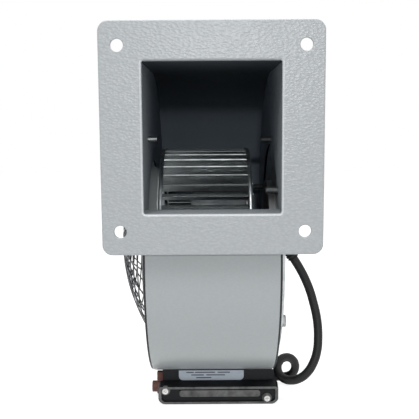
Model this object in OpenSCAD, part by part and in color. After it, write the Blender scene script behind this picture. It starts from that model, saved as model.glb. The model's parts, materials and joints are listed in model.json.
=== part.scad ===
// Centrifugal fan: sheet-metal scroll with a square outlet flange, a drum impeller on an
// external-rotor motor, a domed wire guard on the inlet and a terminal box under the scroll.
// Origin: centre of the flange's front face. +X to the motor side, +Y into the fan, +Z up.

/* [Outlet flange] */
// Width of the flange plate
flange_w = 150; // [144:1:160]
// Height of the flange plate
flange_h = 156; // [150:1:164]
// Thickness of the flange plate
flange_t = 3; // [2:0.5:5]
// Corner radius of the flange plate
flange_corner_r = 7; // [3:0.5:9]
// Distance between the flange holes across
flange_bolt_x = 125; // [118:1:130]
// Distance between the flange holes upwards
flange_bolt_z = 124; // [118:1:132]
// Diameter of the flange holes
flange_hole_d = 8.5; // [6.5:0.5:10]
// Overlap of the flange over the ends of the duct walls
flange_lap = 1; // [0.5:0.25:1.5]

/* [Scroll casing] */
// Width between the two side plates
casing_w = 95; // [90:1:104]
// Depth of the impeller axis behind the flange face
axis_back = 107; // [102:1:116]
// Drop of the impeller axis below the flange centre
axis_drop = 84; // [78:1:90]
// Drop of the duct floor below the flange centre
floor_drop = 50; // [45:1:54]
// Gap from the impeller to the start of the scroll
start_gap = 13; // [11:0.5:16]
// Growth of the scroll radius in each quarter turn
scroll_step = 14; // [11:0.5:16]
// Thickness of the wrapper sheet
sheet_t = 1.2; // [0.8:0.1:2]
// Thickness of the side plates
plate_t = 1.5; // [1:0.1:2.5]
// Step from the wrapper's surface in to the side plates' edge
plate_inset = 0.75; // [0.25:0.25:1]
// Radius of the rolled cut-off lip
lip_r = 4.5; // [3:0.25:6]
// Gap from the impeller to the cut-off lip
lip_gap = 6; // [4:0.5:8]

/* [Impeller] */
// Outside diameter of the impeller
impeller_d = 150; // [142:1:156]
// Length of the impeller along its axis
impeller_l = 70; // [62:1:74]
// Gap between the inlet side plate and the impeller
inlet_gap = 7.5; // [5:0.5:10]
// Number of blades
blade_count = 46; // [36:1:52]
// Radial depth of the blades
blade_depth = 14; // [11:0.5:16]
// Thickness of the blade sheet
blade_t = 0.8; // [0.5:0.1:1.2]
// Radius of the blade's curve
blade_curve_r = 12; // [11:0.5:16]
// Lean of the blade's inner edge behind the radius
blade_lean = 15; // [5:1:20]
// Thickness of the end ring and the back disc
rim_t = 1.2; // [0.8:0.1:2]
// Length of the folded edges of the end ring and the back disc
rim_fold = 3; // [2:0.5:5]
// Number of rivets that hold the impeller on the rotor
rivet_count = 8; // [6:1:10]
// Diameter of the rivets
rivet_d = 4; // [3:0.5:5]

/* [Inlet] */
// Throat diameter of the inlet ring
inlet_d = 114; // [104:1:118]
// Radius of the inlet ring's bell mouth
bell_r = 8; // [7:0.5:9]
// Width of the inlet ring's flat rim
bell_rim = 5; // [3:0.5:6]
// Distance from the inlet ring's rim to the guard's outer ring
guard_margin = 2; // [1.6:0.1:6]
// Height of the guard's dome
guard_h = 20; // [16:1:26]
// Diameter of the guard wire
guard_wire_d = 1.6; // [1.4:0.1:2.5]
// Diameter of the guard's outer ring wire
guard_rim_d = 3; // [2.5:0.1:4]
// Distance between the guard rings
guard_pitch = 8; // [7:0.5:10]
// Number of clips that hold the guard
clip_count = 2; // [2:1:3]
// Turn of the first clip from the top towards the outlet
clip_turn = 31; // [28:1:34]
// Distance from the guard's outer ring to the clip screws
clip_reach = 25.5; // [22:0.5:26]
// Number of guard spokes between two clips
spokes_per_clip = 12; // [8:1:14]
// Width of a guard clip
clip_w = 9; // [6:0.5:10]
// Thickness of a guard clip
clip_t = 1.2; // [0.8:0.1:1.5]
// Shank diameter of the guard screws
screw_d = 4; // [3:0.5:4]
// Length of the guard screws' tips inside the casing
screw_tip = 6.5; // [3:0.5:7]

/* [Motor plate] */
// Diameter of the motor plate
motor_plate_d = 184; // [180:1:186]
// Thickness of the motor plate
motor_plate_t = 2; // [1.5:0.25:3]
// Diameter of the opening behind the motor plate
motor_opening_d = 156; // [150:1:158]
// Number of pairs of motor plate bolts
bolt_pair_count = 3; // [2:1:4]
// Angle between the two bolts of a pair
bolt_pair_turn = 47; // [40:1:50]
// Turn of the first bolt from the top towards the outlet
plate_bolt_turn = 9; // [6:1:12]
// Diameter of the motor plate's bolt circle
plate_bolt_circle = 166; // [165:0.5:172]
// Shank diameter of the motor plate bolts
plate_bolt_d = 5; // [4:0.5:5]
// Length of the bolt tips inside the casing
plate_bolt_tip = 9; // [4:0.5:10]

/* [Motor] */
// Outside diameter of the rotor cup
rotor_d = 86; // [80:1:92]
// Length of the rotor cup
rotor_l = 45; // [42:1:50]
// Wall of the rotor cup
rotor_wall = 1.5; // [1:0.1:2]
// Thickness of the rotor cup's end
rotor_end_t = 2; // [1.5:0.25:3]
// Width of the rotor cup's rim
rotor_rim = 9; // [8:0.5:11]
// Radial thickness of the rotor core
core_wall = 7.5; // [6:0.5:9]
// Length of the rotor and stator cores
core_l = 28; // [24:1:29]
// Air gap between the rotor and the stator
air_gap = 0.5; // [0.3:0.1:0.8]
// Number of stator slots
slot_count = 12; // [8:1:16]
// Width of a stator slot
slot_w = 3; // [2:0.25:3.5]
// Clearance of the coils in the slots
slot_clear = 0.2; // [0.1:0.05:0.4]
// Length of the coil ends past the core
coil_end = 6; // [4:0.5:6]
// Diameter of the shaft
shaft_d = 8; // [7:0.5:9]
// Outside diameter of the bearings
bearing_d = 22; // [21:0.5:24]
// Width of the bearings
bearing_w = 7; // [6:0.5:8]
// Diameter of the bearing balls
ball_d = 4; // [3.5:0.1:4.2]
// Number of balls in a bearing
ball_count = 7; // [5:1:8]
// Wall of the motor flange's bearing tube
tube_wall = 4; // [3:0.5:5]
// Diameter of the motor flange
motor_flange_d = 96; // [90:1:110]
// Thickness of the motor flange
motor_flange_t = 5; // [4:0.5:6]
// Diameter of the motor flange's screw circle
flange_screw_circle = 80; // [72:1:84]
// Number of motor flange screws
flange_screw_count = 4; // [3:1:6]

/* [Cable] */
// Diameter of the motor cable
cable_d = 7; // [5:0.2:7.4]
// Depth of the cable boot behind the flange face
boot_back = 82; // [76:1:88]
// Length of the boot's neck on the motor plate
boot_neck = 6; // [4:0.5:8]
// Length of the boot's tapered tail
boot_tail = 14; // [10:1:18]
// Angle of the boot's tail below the horizontal
boot_angle = 58; // [50:1:75]

/* [Terminal box] */
// Width of the terminal box
box_w = 89; // [80:1:92]
// Depth of the terminal box from front to back
box_d = 68; // [62:1:74]
// Depth of the box's front behind the flange face
box_front = 74; // [70:1:78]
// Reach of the box below the lowest point of the scroll
box_below = 18; // [17:0.5:24]
// Shift of the box towards the motor side
box_shift = 4; // [0:0.5:5]
// Wall of the terminal box
box_wall = 3; // [2:0.25:3.5]
// Gap between the box's saddle and the scroll
seat_gap = 0.2; // [0.1:0.05:0.3]
// Width of the box cover
cover_w = 95.4; // [93:0.2:100]
// Height of the box cover
cover_h = 17.2; // [15:0.2:18]
// Thickness of the box cover
cover_t = 7; // [5:0.5:9]
// Width of the cover's raised border
cover_border = 2.6; // [2:0.2:3.4]
// Depth of the cover's recess
cover_recess = 1.6; // [0.8:0.2:2.4]
// Chamfer of the cover's lower corners
cover_chamfer = 3.5; // [2:0.5:5]
// Thickness of the gasket under the cover
gasket_t = 1; // [0.6:0.1:1.5]
// Width of the label plate on the box
label_w = 52; // [40:1:60]
// Thickness of the label plate
label_t = 0.3; // [0.2:0.1:0.5]
// Diameter of the supply inlet's plug
plug_d = 12; // [10:0.5:13]
// Diameter of the box's cable gland
gland_d = 11; // [10:0.5:12]

/* [Hidden] */
$fn = 64;
far = 400;                                    // past every edge of the fan
past = 1;                                     // reach of a cut past the face that it goes through
bite = 0.1;                                   // overlap of two shapes that make one solid

// Places of the axis, the floor and the casing walls
axis_y = axis_back;
axis_z = -axis_drop;
floor_z = -floor_drop;
plate_in = casing_w / 2;
plate_out = plate_in + plate_t;

// Impeller: end ring on the inlet side, back disc on the motor side
impeller_r = impeller_d / 2;
blade_tip_r = impeller_r - rim_t;
blade_root_r = blade_tip_r - blade_depth;
impeller_left = -plate_in + inlet_gap;
impeller_right = impeller_left + impeller_l;
blade_center = [blade_root_r + blade_curve_r * sin(blade_lean), blade_curve_r * cos(blade_lean)];
blade_end_turn = atan2(blade_center[1], blade_center[0]);

// Scroll: four quarter arcs about the corners of a square round the axis
scroll_r0 = impeller_r + start_gap;
function scroll_r(k) = scroll_r0 + k * scroll_step;
function scroll_side(k) = [k == 0 || k == 1 ? -1 : 1, k == 0 || k == 3 ? 1 : -1];
function scroll_center(k) = [
    axis_y + (k == 1 || k == 2 ? 1 : -1) * scroll_step / 2,
    axis_z + (k >= 2 ? 1 : -1) * scroll_step / 2];
ceiling_z = scroll_center(3)[1] + scroll_r(3);
scroll_bottom = scroll_center(1)[1] - scroll_r(1);
// Height of the scroll's underside at depth u, ahead of its lowest point
function scroll_under(u, grow) = scroll_center(1)[1]
    - sqrt(pow(scroll_r(1) + grow, 2) - pow(scroll_center(1)[0] - u, 2));
// Depth of the scroll's first arc at height v, in the middle of the sheet
function first_arc(v) = scroll_center(0)[0]
    - sqrt(pow(scroll_r(0) - sheet_t / 2, 2) - pow(v - scroll_center(0)[1], 2));

// Cut-off lip: a half roll of sheet that keeps its gap from the impeller
lip_z = floor_z - lip_r;
lip_y = axis_y - sqrt(pow(impeller_r + lip_gap + lip_r, 2) - pow(lip_z - axis_z, 2));

// Inlet ring and guard
inlet_r = inlet_d / 2;
inlet_hole_r = inlet_r + bell_r;
guard_r = inlet_hole_r + bell_rim + guard_margin;
bell_face = plate_out + sheet_t;
guard_base_x = -plate_out - guard_rim_d / 2;
dome_r = (pow(guard_r, 2) + pow(guard_h, 2)) / (2 * guard_h);
rim_step = (guard_rim_d - guard_wire_d) / 2;
dome_x = guard_base_x + sqrt(pow(dome_r - rim_step, 2) - pow(guard_r, 2));
spoke_count = clip_count * spokes_per_clip;
spoke_gap = 0.05;
spoke_r = dome_r + guard_wire_d + spoke_gap;
ring_count = floor(guard_r / guard_pitch) - 1;
inner_ring_r = guard_r - ring_count * guard_pitch;
short_spoke_rings = 2;                        // rings that the short spokes leave out
function spoke_start_r(i) = inner_ring_r + (i % 2) * short_spoke_rings * guard_pitch;
clip_clear = 0.1;
screw_clear = 0.1;
head_ratio = 0.8;                             // radius of a pan head to its screw's diameter
screw_head_r = screw_d * head_ratio;
clip_step_r = guard_r + guard_rim_d / 2 + clip_clear;
guard_screw_r = guard_r + clip_reach;
clip_foot_r = guard_screw_r + screw_head_r + clip_t;

// Motor, from the rotor cup's rim on the back disc to the motor flange on its plate
rotor_r = rotor_d / 2;
cup_right = impeller_right - rim_t;
cup_left = cup_right - rotor_l;
core_outer_r = rotor_r - rotor_wall;
core_inner_r = core_outer_r - core_wall;
stator_r = core_inner_r - air_gap;
tube_r = bearing_d / 2 + tube_wall;
end_clear = 1.5;
tube_left = cup_left + rotor_end_t + end_clear;
core_left = tube_left + coil_end;
core_right = core_left + core_l;
flange_left = plate_out - motor_flange_t;
bearing_right_x = flange_left - bearing_w;
circlip_t = 1;
circlip_w = 2;
circlip_groove = circlip_t / 2;
shaft_r = shaft_d / 2;
hub_wall = 5;
hub_r = shaft_r + hub_wall;
hub_l = 8;
spacer_wall = 2;                              // collar of the cup that stands against the bearing
shaft_left = cup_left - hub_l;
shaft_right = bearing_right_x + bearing_w + 2 * circlip_t;
tube_bottom = shaft_right + circlip_t / 2;
rivet_circle_r = rotor_r + rotor_rim / 2;
core_back = 4;                                // steel between the bearing tube and the slots
tooth_tip = 2;                                // steel between the slots and the air gap
slot_inner_r = tube_r + core_back;
slot_outer_r = stator_r - tooth_tip;
slot_mouth = slot_w / 2;

// Ball bearings: the balls run in grooves with a running clearance
ball_pitch_r = (shaft_r + bearing_d / 2) / 2;
ball_clear = 0.05;
ring_gap = 2.6;

// Motor cable, its boot on the motor plate and its loop beside the terminal box
motor_plate_out = plate_out + motor_plate_t;
boot_z = axis_z;
boot_wall = 2;
boot_tip_wall = 1;
boot_collar = 2;                              // width and thickness of the boot's collar
lead_clear = 0.5;
boot_r = cable_d / 2 + boot_wall;
boot_tail_r = cable_d / 2 + boot_tip_wall;
lead_hole_d = cable_d + 2 * lead_clear;
stem_clear = 0.1;                             // between a stem and the hole that it sits in
boot_end = [
    motor_plate_out + boot_neck + boot_tail * cos(boot_angle),
    boot_back,
    boot_z - boot_tail * sin(boot_angle)];
loop_center = [61, 73, -185];
loop_r = 8.5;
loop_tilt = 16;
loop_advance = 42;                            // from one turn of the loop to the next, towards the back
loop_turn = 300;
loop_points = 12;
loop_up = [0, sin(loop_tilt), cos(loop_tilt)];
loop_axis = [0, cos(loop_tilt), -sin(loop_tilt)];
cable_drop = [[70, 82, -105], [74.5, 81, -114], [78, 80, -123], [80.5, 78.5, -132], [82.5, 76.5, -141],
    [83.5, 74, -150], [83.5, 71.5, -159], [82.5, 69, -168], [79.5, 67, -177], [74.5, 66, -185],
    [68, 67, -190.5]];
cable_loop = [for (i = [0:loop_points]) let (turn = loop_turn * i / loop_points)
    loop_center - loop_r * sin(turn) * [1, 0, 0] - loop_r * cos(turn) * loop_up
        + loop_advance * turn / 360 * loop_axis];
cable_tail = [[66, 107.5, -202], [62.5, 109.5, -204], [58.5, 111, -205]];
cable_across = [0.9, 0, -0.5];                // a direction that the cable runs along nowhere
cable_sides = 10;

// Terminal box: it hangs under the scroll on a saddle of the scroll's own curve
box_left = box_shift - box_w / 2;
box_right = box_shift + box_w / 2;
box_back = box_front + box_d;
box_bottom = scroll_bottom - box_below;
box_top = scroll_under(box_front, seat_gap);
cover_back = box_front - gasket_t;
cover_front = cover_back - cover_t;
cover_left = box_shift - cover_w / 2;
cover_right = box_shift + cover_w / 2;
cover_top = box_bottom + cover_h;
gasket_inset = 1;
window_side = 9;
window_bottom = box_bottom + box_wall;
window_top = cover_top - cover_border;
cover_screw_d = 3;
box_boss_r = 2.4;
cover_boss_r = 3.8;
boss_merge = 0.6;                             // overlap of a cover boss with the raised border
cover_screw_in = cover_border + cover_boss_r - boss_merge;
cover_screw_at = [
    [box_left + box_boss_r + bite, cover_top - cover_screw_in],
    [box_right - cover_screw_in, box_bottom + cover_border + cover_screw_d * head_ratio + bite]];
cover_boss_l = 1.4;
screw_sink = 0.4;                             // the screw heads' seat below the raised border
label_side = 0.6;
gland_front = 32;                             // from the box's front to the gland
gland_low = 0.2;
gland_lip = 1.5;
gland_at = [box_front + gland_d / 2 + gland_front, box_bottom + gland_d / 2 + gland_low];
gland_l = 6;
gland_hole_d = gland_d - 2 * gland_lip;
plug_front = 3;                               // from the box's front to the plug
plug_low = 3;
plug_lip = 1.5;
plug_hole_d = plug_d - 2 * plug_lip;
plug_at = [box_front + plug_d / 2 + plug_front, box_bottom + plug_d / 2 + plug_low];
plug_reach = 9;
tab_t = 5;
tab_w = 5;
tab_clear = 0.5;                              // between the plug's tab and the scroll above it
tab_h = scroll_under(plug_at[0] + tab_w / 2, tab_clear) - plug_at[1];
box_screw_x = 26;
box_screw_y = scroll_center(1)[0];
box_screw_tip = 4;
roof_z = scroll_bottom - seat_gap - box_wall;
box_floor = box_bottom + box_wall;
label_shift = -5.5;

// Terminal block and capacitor on the box's floor
block_poles = 4;
block_pitch = 9;
block_size = [block_poles * block_pitch, 14, 9];
block_back = 20;                              // from the box's front to the terminal block
block_at = [box_shift, box_front + block_back, box_floor];
block_well_r = 2;
block_well = 4;
block_well_y = 3.6;
wire_hole_r = 1.6;
wire_hole_z = 3;
terminal_screw_r = 1.9;
terminal_screw_h = 2.5;
capacitor_size = [36, 16, 9.5];
capacitor_side = 6;
capacitor_back = 1;

// Shared shapes

// Turns a profile of (depth, height) so that it is swept along X
module sideways() {
    rotate([90, 0, 90]) children();
}

// Puts a shape that is turned about Z onto the impeller's axis, at a place along X
module on_axis(x) {
    sideways() translate([axis_y, axis_z, x]) children();
}

// Repeats a shape round the axis, the first one turned from the top towards the outlet
module around(count, turn, r, x) {
    on_axis(x) for (i = [0:count - 1]) rotate(90 + turn + i * 360 / count) translate([r, 0, 0]) children();
}

module tube(outer_r, inner_r, h) {
    difference() {
        cylinder(r = outer_r, h = h);
        translate([0, 0, -past]) cylinder(r = inner_r, h = h + 2 * past);
    }
}

module rounded_plate(w, h, r) {
    square([w - 2 * r, h], center = true);
    square([w, h - 2 * r], center = true);
    for (sx = [-1, 1], sy = [-1, 1]) translate([sx * (w / 2 - r), sy * (h / 2 - r)]) circle(r = r);
}

// Area inside the scroll, drawn in by an inset
module scroll_area(inset) {
    for (k = [0:3]) translate(scroll_center(k)) intersection() {
        circle(r = scroll_r(k) - inset);
        translate([scroll_side(k)[0] > 0 ? 0 : -far, scroll_side(k)[1] > 0 ? 0 : -far]) square(far);
    }
    translate([axis_y, axis_z]) square(scroll_step, center = true);
}

// Area inside the outlet duct, between two heights
module duct_area(front, low, high) {
    translate([front, low]) square([scroll_center(3)[0] - front, high - low]);
}

// Outline of a side plate, a step inside the wrapper's surface
module side_outline() {
    scroll_area(plate_inset);
    duct_area(flange_t, floor_z - sheet_t, ceiling_z - plate_inset);
}

// Pan-head screw along Z: the head stands on z = 0 and the shank goes down
module pan_screw(d, shank_l) {
    head_h = d * 0.6;
    slot_d = d * 0.2;
    translate([0, 0, -shank_l]) cylinder(d = d, h = shank_l + bite);
    difference() {
        cylinder(r = d * head_ratio, h = head_h);
        for (turn = [0, 90]) rotate(turn)
            translate([-d / 2, -slot_d / 2, head_h / 2]) cube([d, slot_d, head_h]);
    }
}

// Casing

module outlet_flange() {
    color([0.70, 0.72, 0.73]) translate([0, flange_t, 0]) rotate([90, 0, 0]) difference() {
        linear_extrude(flange_t) rounded_plate(flange_w, flange_h, flange_corner_r);
        translate([-plate_in + flange_lap, floor_z, -past])
            cube([casing_w - 2 * flange_lap, ceiling_z - flange_lap - floor_z, flange_t + 2 * past]);
        for (sx = [-1, 1], sz = [-1, 1])
            translate([sx * flange_bolt_x / 2, sz * flange_bolt_z / 2, -past])
                cylinder(d = flange_hole_d, h = flange_t + 2 * past);
    }
}

module scroll_wrapper() {
    return_z = lip_z - lip_r;
    color([0.62, 0.64, 0.65]) difference() {
        sideways() translate([0, 0, -plate_in]) linear_extrude(casing_w) {
            difference() {
                union() {
                    scroll_area(0);
                    duct_area(flange_t, floor_z - sheet_t, ceiling_z);
                }
                scroll_area(sheet_t);
                duct_area(0, floor_z, ceiling_z - sheet_t);
            }
            translate([flange_t, floor_z - sheet_t]) square([lip_y - flange_t, sheet_t]);
            translate([first_arc(return_z), return_z]) square([lip_y - first_arc(return_z), sheet_t]);
            translate([lip_y, lip_z]) intersection() {
                difference() {
                    circle(r = lip_r);
                    circle(r = lip_r - sheet_t);
                }
                translate([0, -far / 2]) square(far);
            }
        }
        for (sx = [-1, 1]) translate([box_shift + sx * box_screw_x, box_screw_y, scroll_bottom - past])
            cylinder(r = screw_d / 2 + screw_clear, h = sheet_t + 2 * past);
    }
}

module inlet_side_plate() {
    color([0.60, 0.62, 0.63]) difference() {
        sideways() translate([0, 0, -plate_out]) linear_extrude(plate_t) side_outline();
        on_axis(-plate_out - past) cylinder(r = inlet_hole_r, h = plate_t + 2 * past);
        around(clip_count, clip_turn, guard_screw_r, -plate_out - past)
            cylinder(r = screw_d / 2 + screw_clear, h = plate_t + 2 * past);
    }
}

module motor_side_plate() {
    color([0.60, 0.62, 0.63]) difference() {
        sideways() translate([0, 0, plate_in]) linear_extrude(plate_t) side_outline();
        on_axis(plate_in - past) cylinder(d = motor_opening_d, h = plate_t + 2 * past);
        at_plate_bolts(plate_in - past)
            cylinder(r = plate_bolt_d / 2 + screw_clear, h = plate_t + 2 * past);
    }
}

// Inlet

// Spun ring: a flat rim on the side plate and a quarter-round bell mouth into the casing
module inlet_ring() {
    color([0.66, 0.68, 0.69]) on_axis(-bell_face) rotate_extrude() {
        translate([inlet_hole_r, 0]) square([bell_rim, sheet_t]);
        translate([inlet_hole_r, bell_r]) intersection() {
            difference() {
                circle(r = bell_r);
                circle(r = bell_r - sheet_t);
            }
            translate([-far, -far]) square(far);
        }
    }
}

module guard_ring(ring_r, wire_d, x) {
    on_axis(x) rotate_extrude() translate([ring_r, 0]) circle(d = wire_d, $fn = 24);
}

module guard_rings() {
    color([0.78, 0.79, 0.80]) {
        guard_ring(guard_r, guard_rim_d, guard_base_x);
        for (i = [1:ring_count]) let (ring_r = guard_r - i * guard_pitch)
            guard_ring(ring_r, guard_wire_d, dome_x - sqrt(pow(dome_r, 2) - pow(ring_r, 2)));
    }
}

// Bent wires that lie on the outside of the rings: every second one reaches the smallest ring,
// and the others end some rings further out
module guard_spokes() {
    outer_turn = asin(guard_r / (dome_r - rim_step));
    color([0.78, 0.79, 0.80]) on_axis(dome_x) for (i = [0:spoke_count - 1])
        let (inner_turn = asin((spoke_start_r(i) - guard_wire_d) / dome_r))
        rotate(90 + clip_turn + (i + 0.5) * 360 / spoke_count) rotate([90, 0, 0])
            rotate(-90 + inner_turn) rotate_extrude(angle = outer_turn - inner_turn)
                translate([spoke_r, 0]) circle(d = guard_wire_d, $fn = 24);
}

// Folded tabs: the foot is screwed to the side plate and the tongue holds the outer ring down
module guard_clips() {
    tongue_z = guard_rim_d + clip_clear;
    color([0.72, 0.73, 0.74]) around(clip_count, clip_turn, 0, -plate_out)
    rotate([0, 180, 0]) difference() {
        translate([0, clip_w / 2, 0]) rotate([90, 0, 0]) linear_extrude(clip_w) mirror([1, 0]) {
            translate([clip_step_r, 0]) square([clip_foot_r - clip_step_r, clip_t]);
            translate([clip_step_r, 0]) square([clip_t, tongue_z + clip_t]);
            translate([guard_r - guard_rim_d / 2, tongue_z])
                square([clip_step_r + clip_t - guard_r + guard_rim_d / 2, clip_t]);
        }
        translate([-guard_screw_r, 0, -past]) cylinder(r = screw_d / 2 + screw_clear, h = clip_t + 2 * past);
    }
}

module guard_screws() {
    color([0.80, 0.80, 0.80]) around(clip_count, clip_turn, guard_screw_r, -plate_out - clip_t)
        rotate([0, 180, 0]) pan_screw(screw_d, clip_t + plate_t + screw_tip);
}

// Motor plate

// Repeats a shape at each motor plate bolt: the bolts stand in pairs
module at_plate_bolts(x) {
    for (turn = [0, bolt_pair_turn])
        around(bolt_pair_count, plate_bolt_turn + turn, plate_bolt_circle / 2, x) children();
}

module motor_plate() {
    color([0.74, 0.75, 0.76]) difference() {
        on_axis(plate_out) cylinder(d = motor_plate_d, h = motor_plate_t, $fn = 96);
        at_plate_bolts(plate_out - past)
            cylinder(r = plate_bolt_d / 2 + screw_clear, h = motor_plate_t + 2 * past);
        around(flange_screw_count, 45, flange_screw_circle / 2, plate_out - past)
            cylinder(r = screw_d / 2 + screw_clear, h = motor_plate_t + 2 * past);
        sideways() translate([boot_back, boot_z, plate_out - past])
            cylinder(d = lead_hole_d, h = motor_plate_t + 2 * past);
    }
}

module motor_plate_bolts() {
    head_h = plate_bolt_d * 0.7;
    head_r = plate_bolt_d * 0.92;
    shank_l = motor_plate_t + plate_t + plate_bolt_tip;
    color([0.76, 0.77, 0.78]) at_plate_bolts(motor_plate_out) {
        cylinder(r = head_r, h = head_h, $fn = 6);
        translate([0, 0, -shank_l]) cylinder(d = plate_bolt_d, h = shank_l + bite);
    }
}

// Motor: the stator on its cast flange

module motor_flange() {
    color([0.66, 0.67, 0.68]) difference() {
        union() {
            on_axis(flange_left) cylinder(d = motor_flange_d, h = motor_flange_t);
            on_axis(tube_left) cylinder(r = tube_r, h = flange_left - tube_left + bite);
        }
        on_axis(tube_left - past) cylinder(d = bearing_d, h = tube_bottom - tube_left + past);
        around(flange_screw_count, 45, flange_screw_circle / 2, flange_left - past)
            cylinder(r = screw_d / 2 + screw_clear, h = motor_flange_t + 2 * past);
        sideways() translate([boot_back, boot_z, flange_left - past])
            cylinder(d = lead_hole_d, h = motor_flange_t + 2 * past);
    }
}

module motor_flange_screws() {
    color([0.76, 0.77, 0.78]) around(flange_screw_count, 45, flange_screw_circle / 2, motor_plate_out)
        pan_screw(screw_d, motor_plate_t + motor_flange_t);
}

module slot_shape(clear) {
    for (i = [0:slot_count - 1]) rotate(i * 360 / slot_count)
        translate([slot_inner_r + clear, -slot_w / 2 + clear])
            square([slot_outer_r - slot_inner_r - 2 * clear, slot_w - 2 * clear]);
}

module stator_core() {
    color([0.42, 0.43, 0.45]) on_axis(core_left) linear_extrude(core_l) difference() {
        circle(r = stator_r);
        circle(r = tube_r);
        slot_shape(0);
        for (i = [0:slot_count - 1]) rotate(i * 360 / slot_count)
            translate([slot_outer_r - bite, -slot_mouth / 2]) square([tooth_tip + past, slot_mouth]);
    }
}

// Coil sides in the slots, joined by a ring of windings at each end
module stator_coils() {
    ring_l = coil_end - end_clear;
    color([0.62, 0.32, 0.14]) {
        on_axis(core_left - ring_l)
            tube(slot_outer_r - slot_clear, slot_inner_r + slot_clear, ring_l);
        on_axis(core_right) tube(slot_outer_r - slot_clear, slot_inner_r + slot_clear, ring_l);
        on_axis(core_left) linear_extrude(core_l) slot_shape(slot_clear);
    }
}

// Bearings and shaft

module at_bearings() {
    for (x = [tube_left, bearing_right_x]) on_axis(x) children();
}

module ball_groove() {
    translate([ball_pitch_r, bearing_w / 2]) circle(r = ball_d / 2 + ball_clear);
}

module bearing_outer_rings() {
    color([0.72, 0.73, 0.75]) at_bearings() rotate_extrude() difference() {
        translate([ball_pitch_r + ring_gap / 2, 0])
            square([bearing_d / 2 - ball_pitch_r - ring_gap / 2, bearing_w]);
        ball_groove();
    }
}

module bearing_inner_rings() {
    color([0.72, 0.73, 0.75]) at_bearings() rotate_extrude() difference() {
        translate([shaft_r, 0]) square([ball_pitch_r - ring_gap / 2 - shaft_r, bearing_w]);
        ball_groove();
    }
}

module bearing_balls() {
    color([0.82, 0.83, 0.85]) at_bearings() for (i = [0:ball_count - 1]) rotate(i * 360 / ball_count)
        translate([ball_pitch_r, 0, bearing_w / 2]) sphere(d = ball_d);
}

module motor_shaft() {
    color([0.75, 0.76, 0.78]) on_axis(shaft_left) difference() {
        cylinder(d = shaft_d, h = shaft_right - shaft_left);
        translate([0, 0, bearing_right_x + bearing_w - shaft_left])
            tube(shaft_r + past, shaft_r - circlip_groove, circlip_t);
    }
}

module shaft_circlip() {
    mouth = shaft_r * 0.8;
    color([0.30, 0.30, 0.32]) on_axis(bearing_right_x + bearing_w) linear_extrude(circlip_t) difference() {
        circle(r = shaft_r - circlip_groove + circlip_w);
        circle(r = shaft_r - circlip_groove);
        translate([0, -mouth / 2]) square([shaft_d, mouth]);
    }
}

// Rotor and impeller

// Drawn cup: closed towards the inlet, with a hub on the shaft and a rim on the back disc
module rotor_cup() {
    color([0.45, 0.46, 0.48]) difference() {
        on_axis(cup_left) rotate_extrude() {
            translate([shaft_r, 0]) square([rotor_r - shaft_r, rotor_end_t]);
            translate([rotor_r - rotor_wall, 0]) square([rotor_wall, rotor_l]);
            translate([rotor_r - rotor_wall, rotor_l - rim_t]) square([rotor_wall + rotor_rim, rim_t]);
            translate([shaft_r, -hub_l]) square([hub_wall, hub_l + rotor_end_t]);
            translate([shaft_r, 0]) square([spacer_wall, rotor_end_t + end_clear]);
        }
        around(rivet_count, 0, rivet_circle_r, cup_right - rim_t - past)
            cylinder(d = rivet_d, h = rim_t + 2 * past);
    }
}

module rotor_core() {
    color([0.40, 0.41, 0.43]) on_axis(core_left) tube(core_outer_r, core_inner_r, core_l);
}

// Forward-curved blade: a strip of a round tube between the root and tip radii
module blade_profile() {
    intersection() {
        difference() {
            circle(r = blade_tip_r);
            circle(r = blade_root_r);
        }
        translate(blade_center) difference() {
            circle(r = blade_curve_r);
            circle(r = blade_curve_r - blade_t);
        }
        rotate(blade_end_turn) translate([0, -far]) square(far);
    }
}

module impeller_blades() {
    color([0.72, 0.74, 0.75]) on_axis(impeller_left + rim_t) for (i = [0:blade_count - 1])
        rotate(i * 360 / blade_count) linear_extrude(impeller_l - 2 * rim_t) blade_profile();
}

// Sheet ring over the blade ends, its outer edge folded over the blade tips
module impeller_end_ring() {
    color([0.74, 0.76, 0.77]) on_axis(impeller_left) rotate_extrude() {
        translate([blade_root_r, 0]) square([impeller_r - blade_root_r, rim_t]);
        translate([blade_tip_r, 0]) square([rim_t, rim_fold]);
    }
}

module impeller_back_disc() {
    color([0.74, 0.76, 0.77]) difference() {
        on_axis(impeller_right) rotate_extrude() mirror([0, 1]) {
            translate([rotor_r - rotor_wall, 0]) square([impeller_r - rotor_r + rotor_wall, rim_t]);
            translate([blade_tip_r, 0]) square([rim_t, rim_fold]);
        }
        around(rivet_count, 0, rivet_circle_r, cup_right - past)
            cylinder(d = rivet_d, h = rim_t + 2 * past);
    }
}

// Rivets through the cup's rim and the back disc, with a head on each side
module impeller_rivets() {
    head_h = rivet_d * 0.35;
    head_d = rivet_d * 1.7;
    color([0.70, 0.71, 0.72]) around(rivet_count, 0, rivet_circle_r, cup_right) {
        translate([0, 0, -rim_t]) cylinder(d = rivet_d, h = 2 * rim_t);
        translate([0, 0, rim_t]) cylinder(d1 = head_d, d2 = rivet_d, h = head_h);
        translate([0, 0, -rim_t - head_h]) cylinder(d1 = rivet_d, d2 = head_d, h = head_h);
    }
}

// Motor cable

// Moulded rubber elbow: a neck on the motor plate and a tapered tail that points down
module cable_boot() {
    color([0.10, 0.10, 0.11]) {
        sideways() translate([boot_back, boot_z, motor_plate_out]) {
            cylinder(r = boot_r + boot_collar, h = boot_collar);
            cylinder(r = boot_r, h = boot_neck);
            translate([0, 0, -motor_plate_t])
                cylinder(r = lead_hole_d / 2 - stem_clear, h = motor_plate_t + bite);
        }
        translate([motor_plate_out + boot_neck, boot_back, boot_z]) {
            sphere(r = boot_r);
            rotate([0, 90 + boot_angle, 0]) cylinder(r1 = boot_r, r2 = boot_tail_r, h = boot_tail);
        }
    }
}

// Unit vector from one route point to another
function heading(a, b) = (b - a) / norm(b - a);

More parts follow.
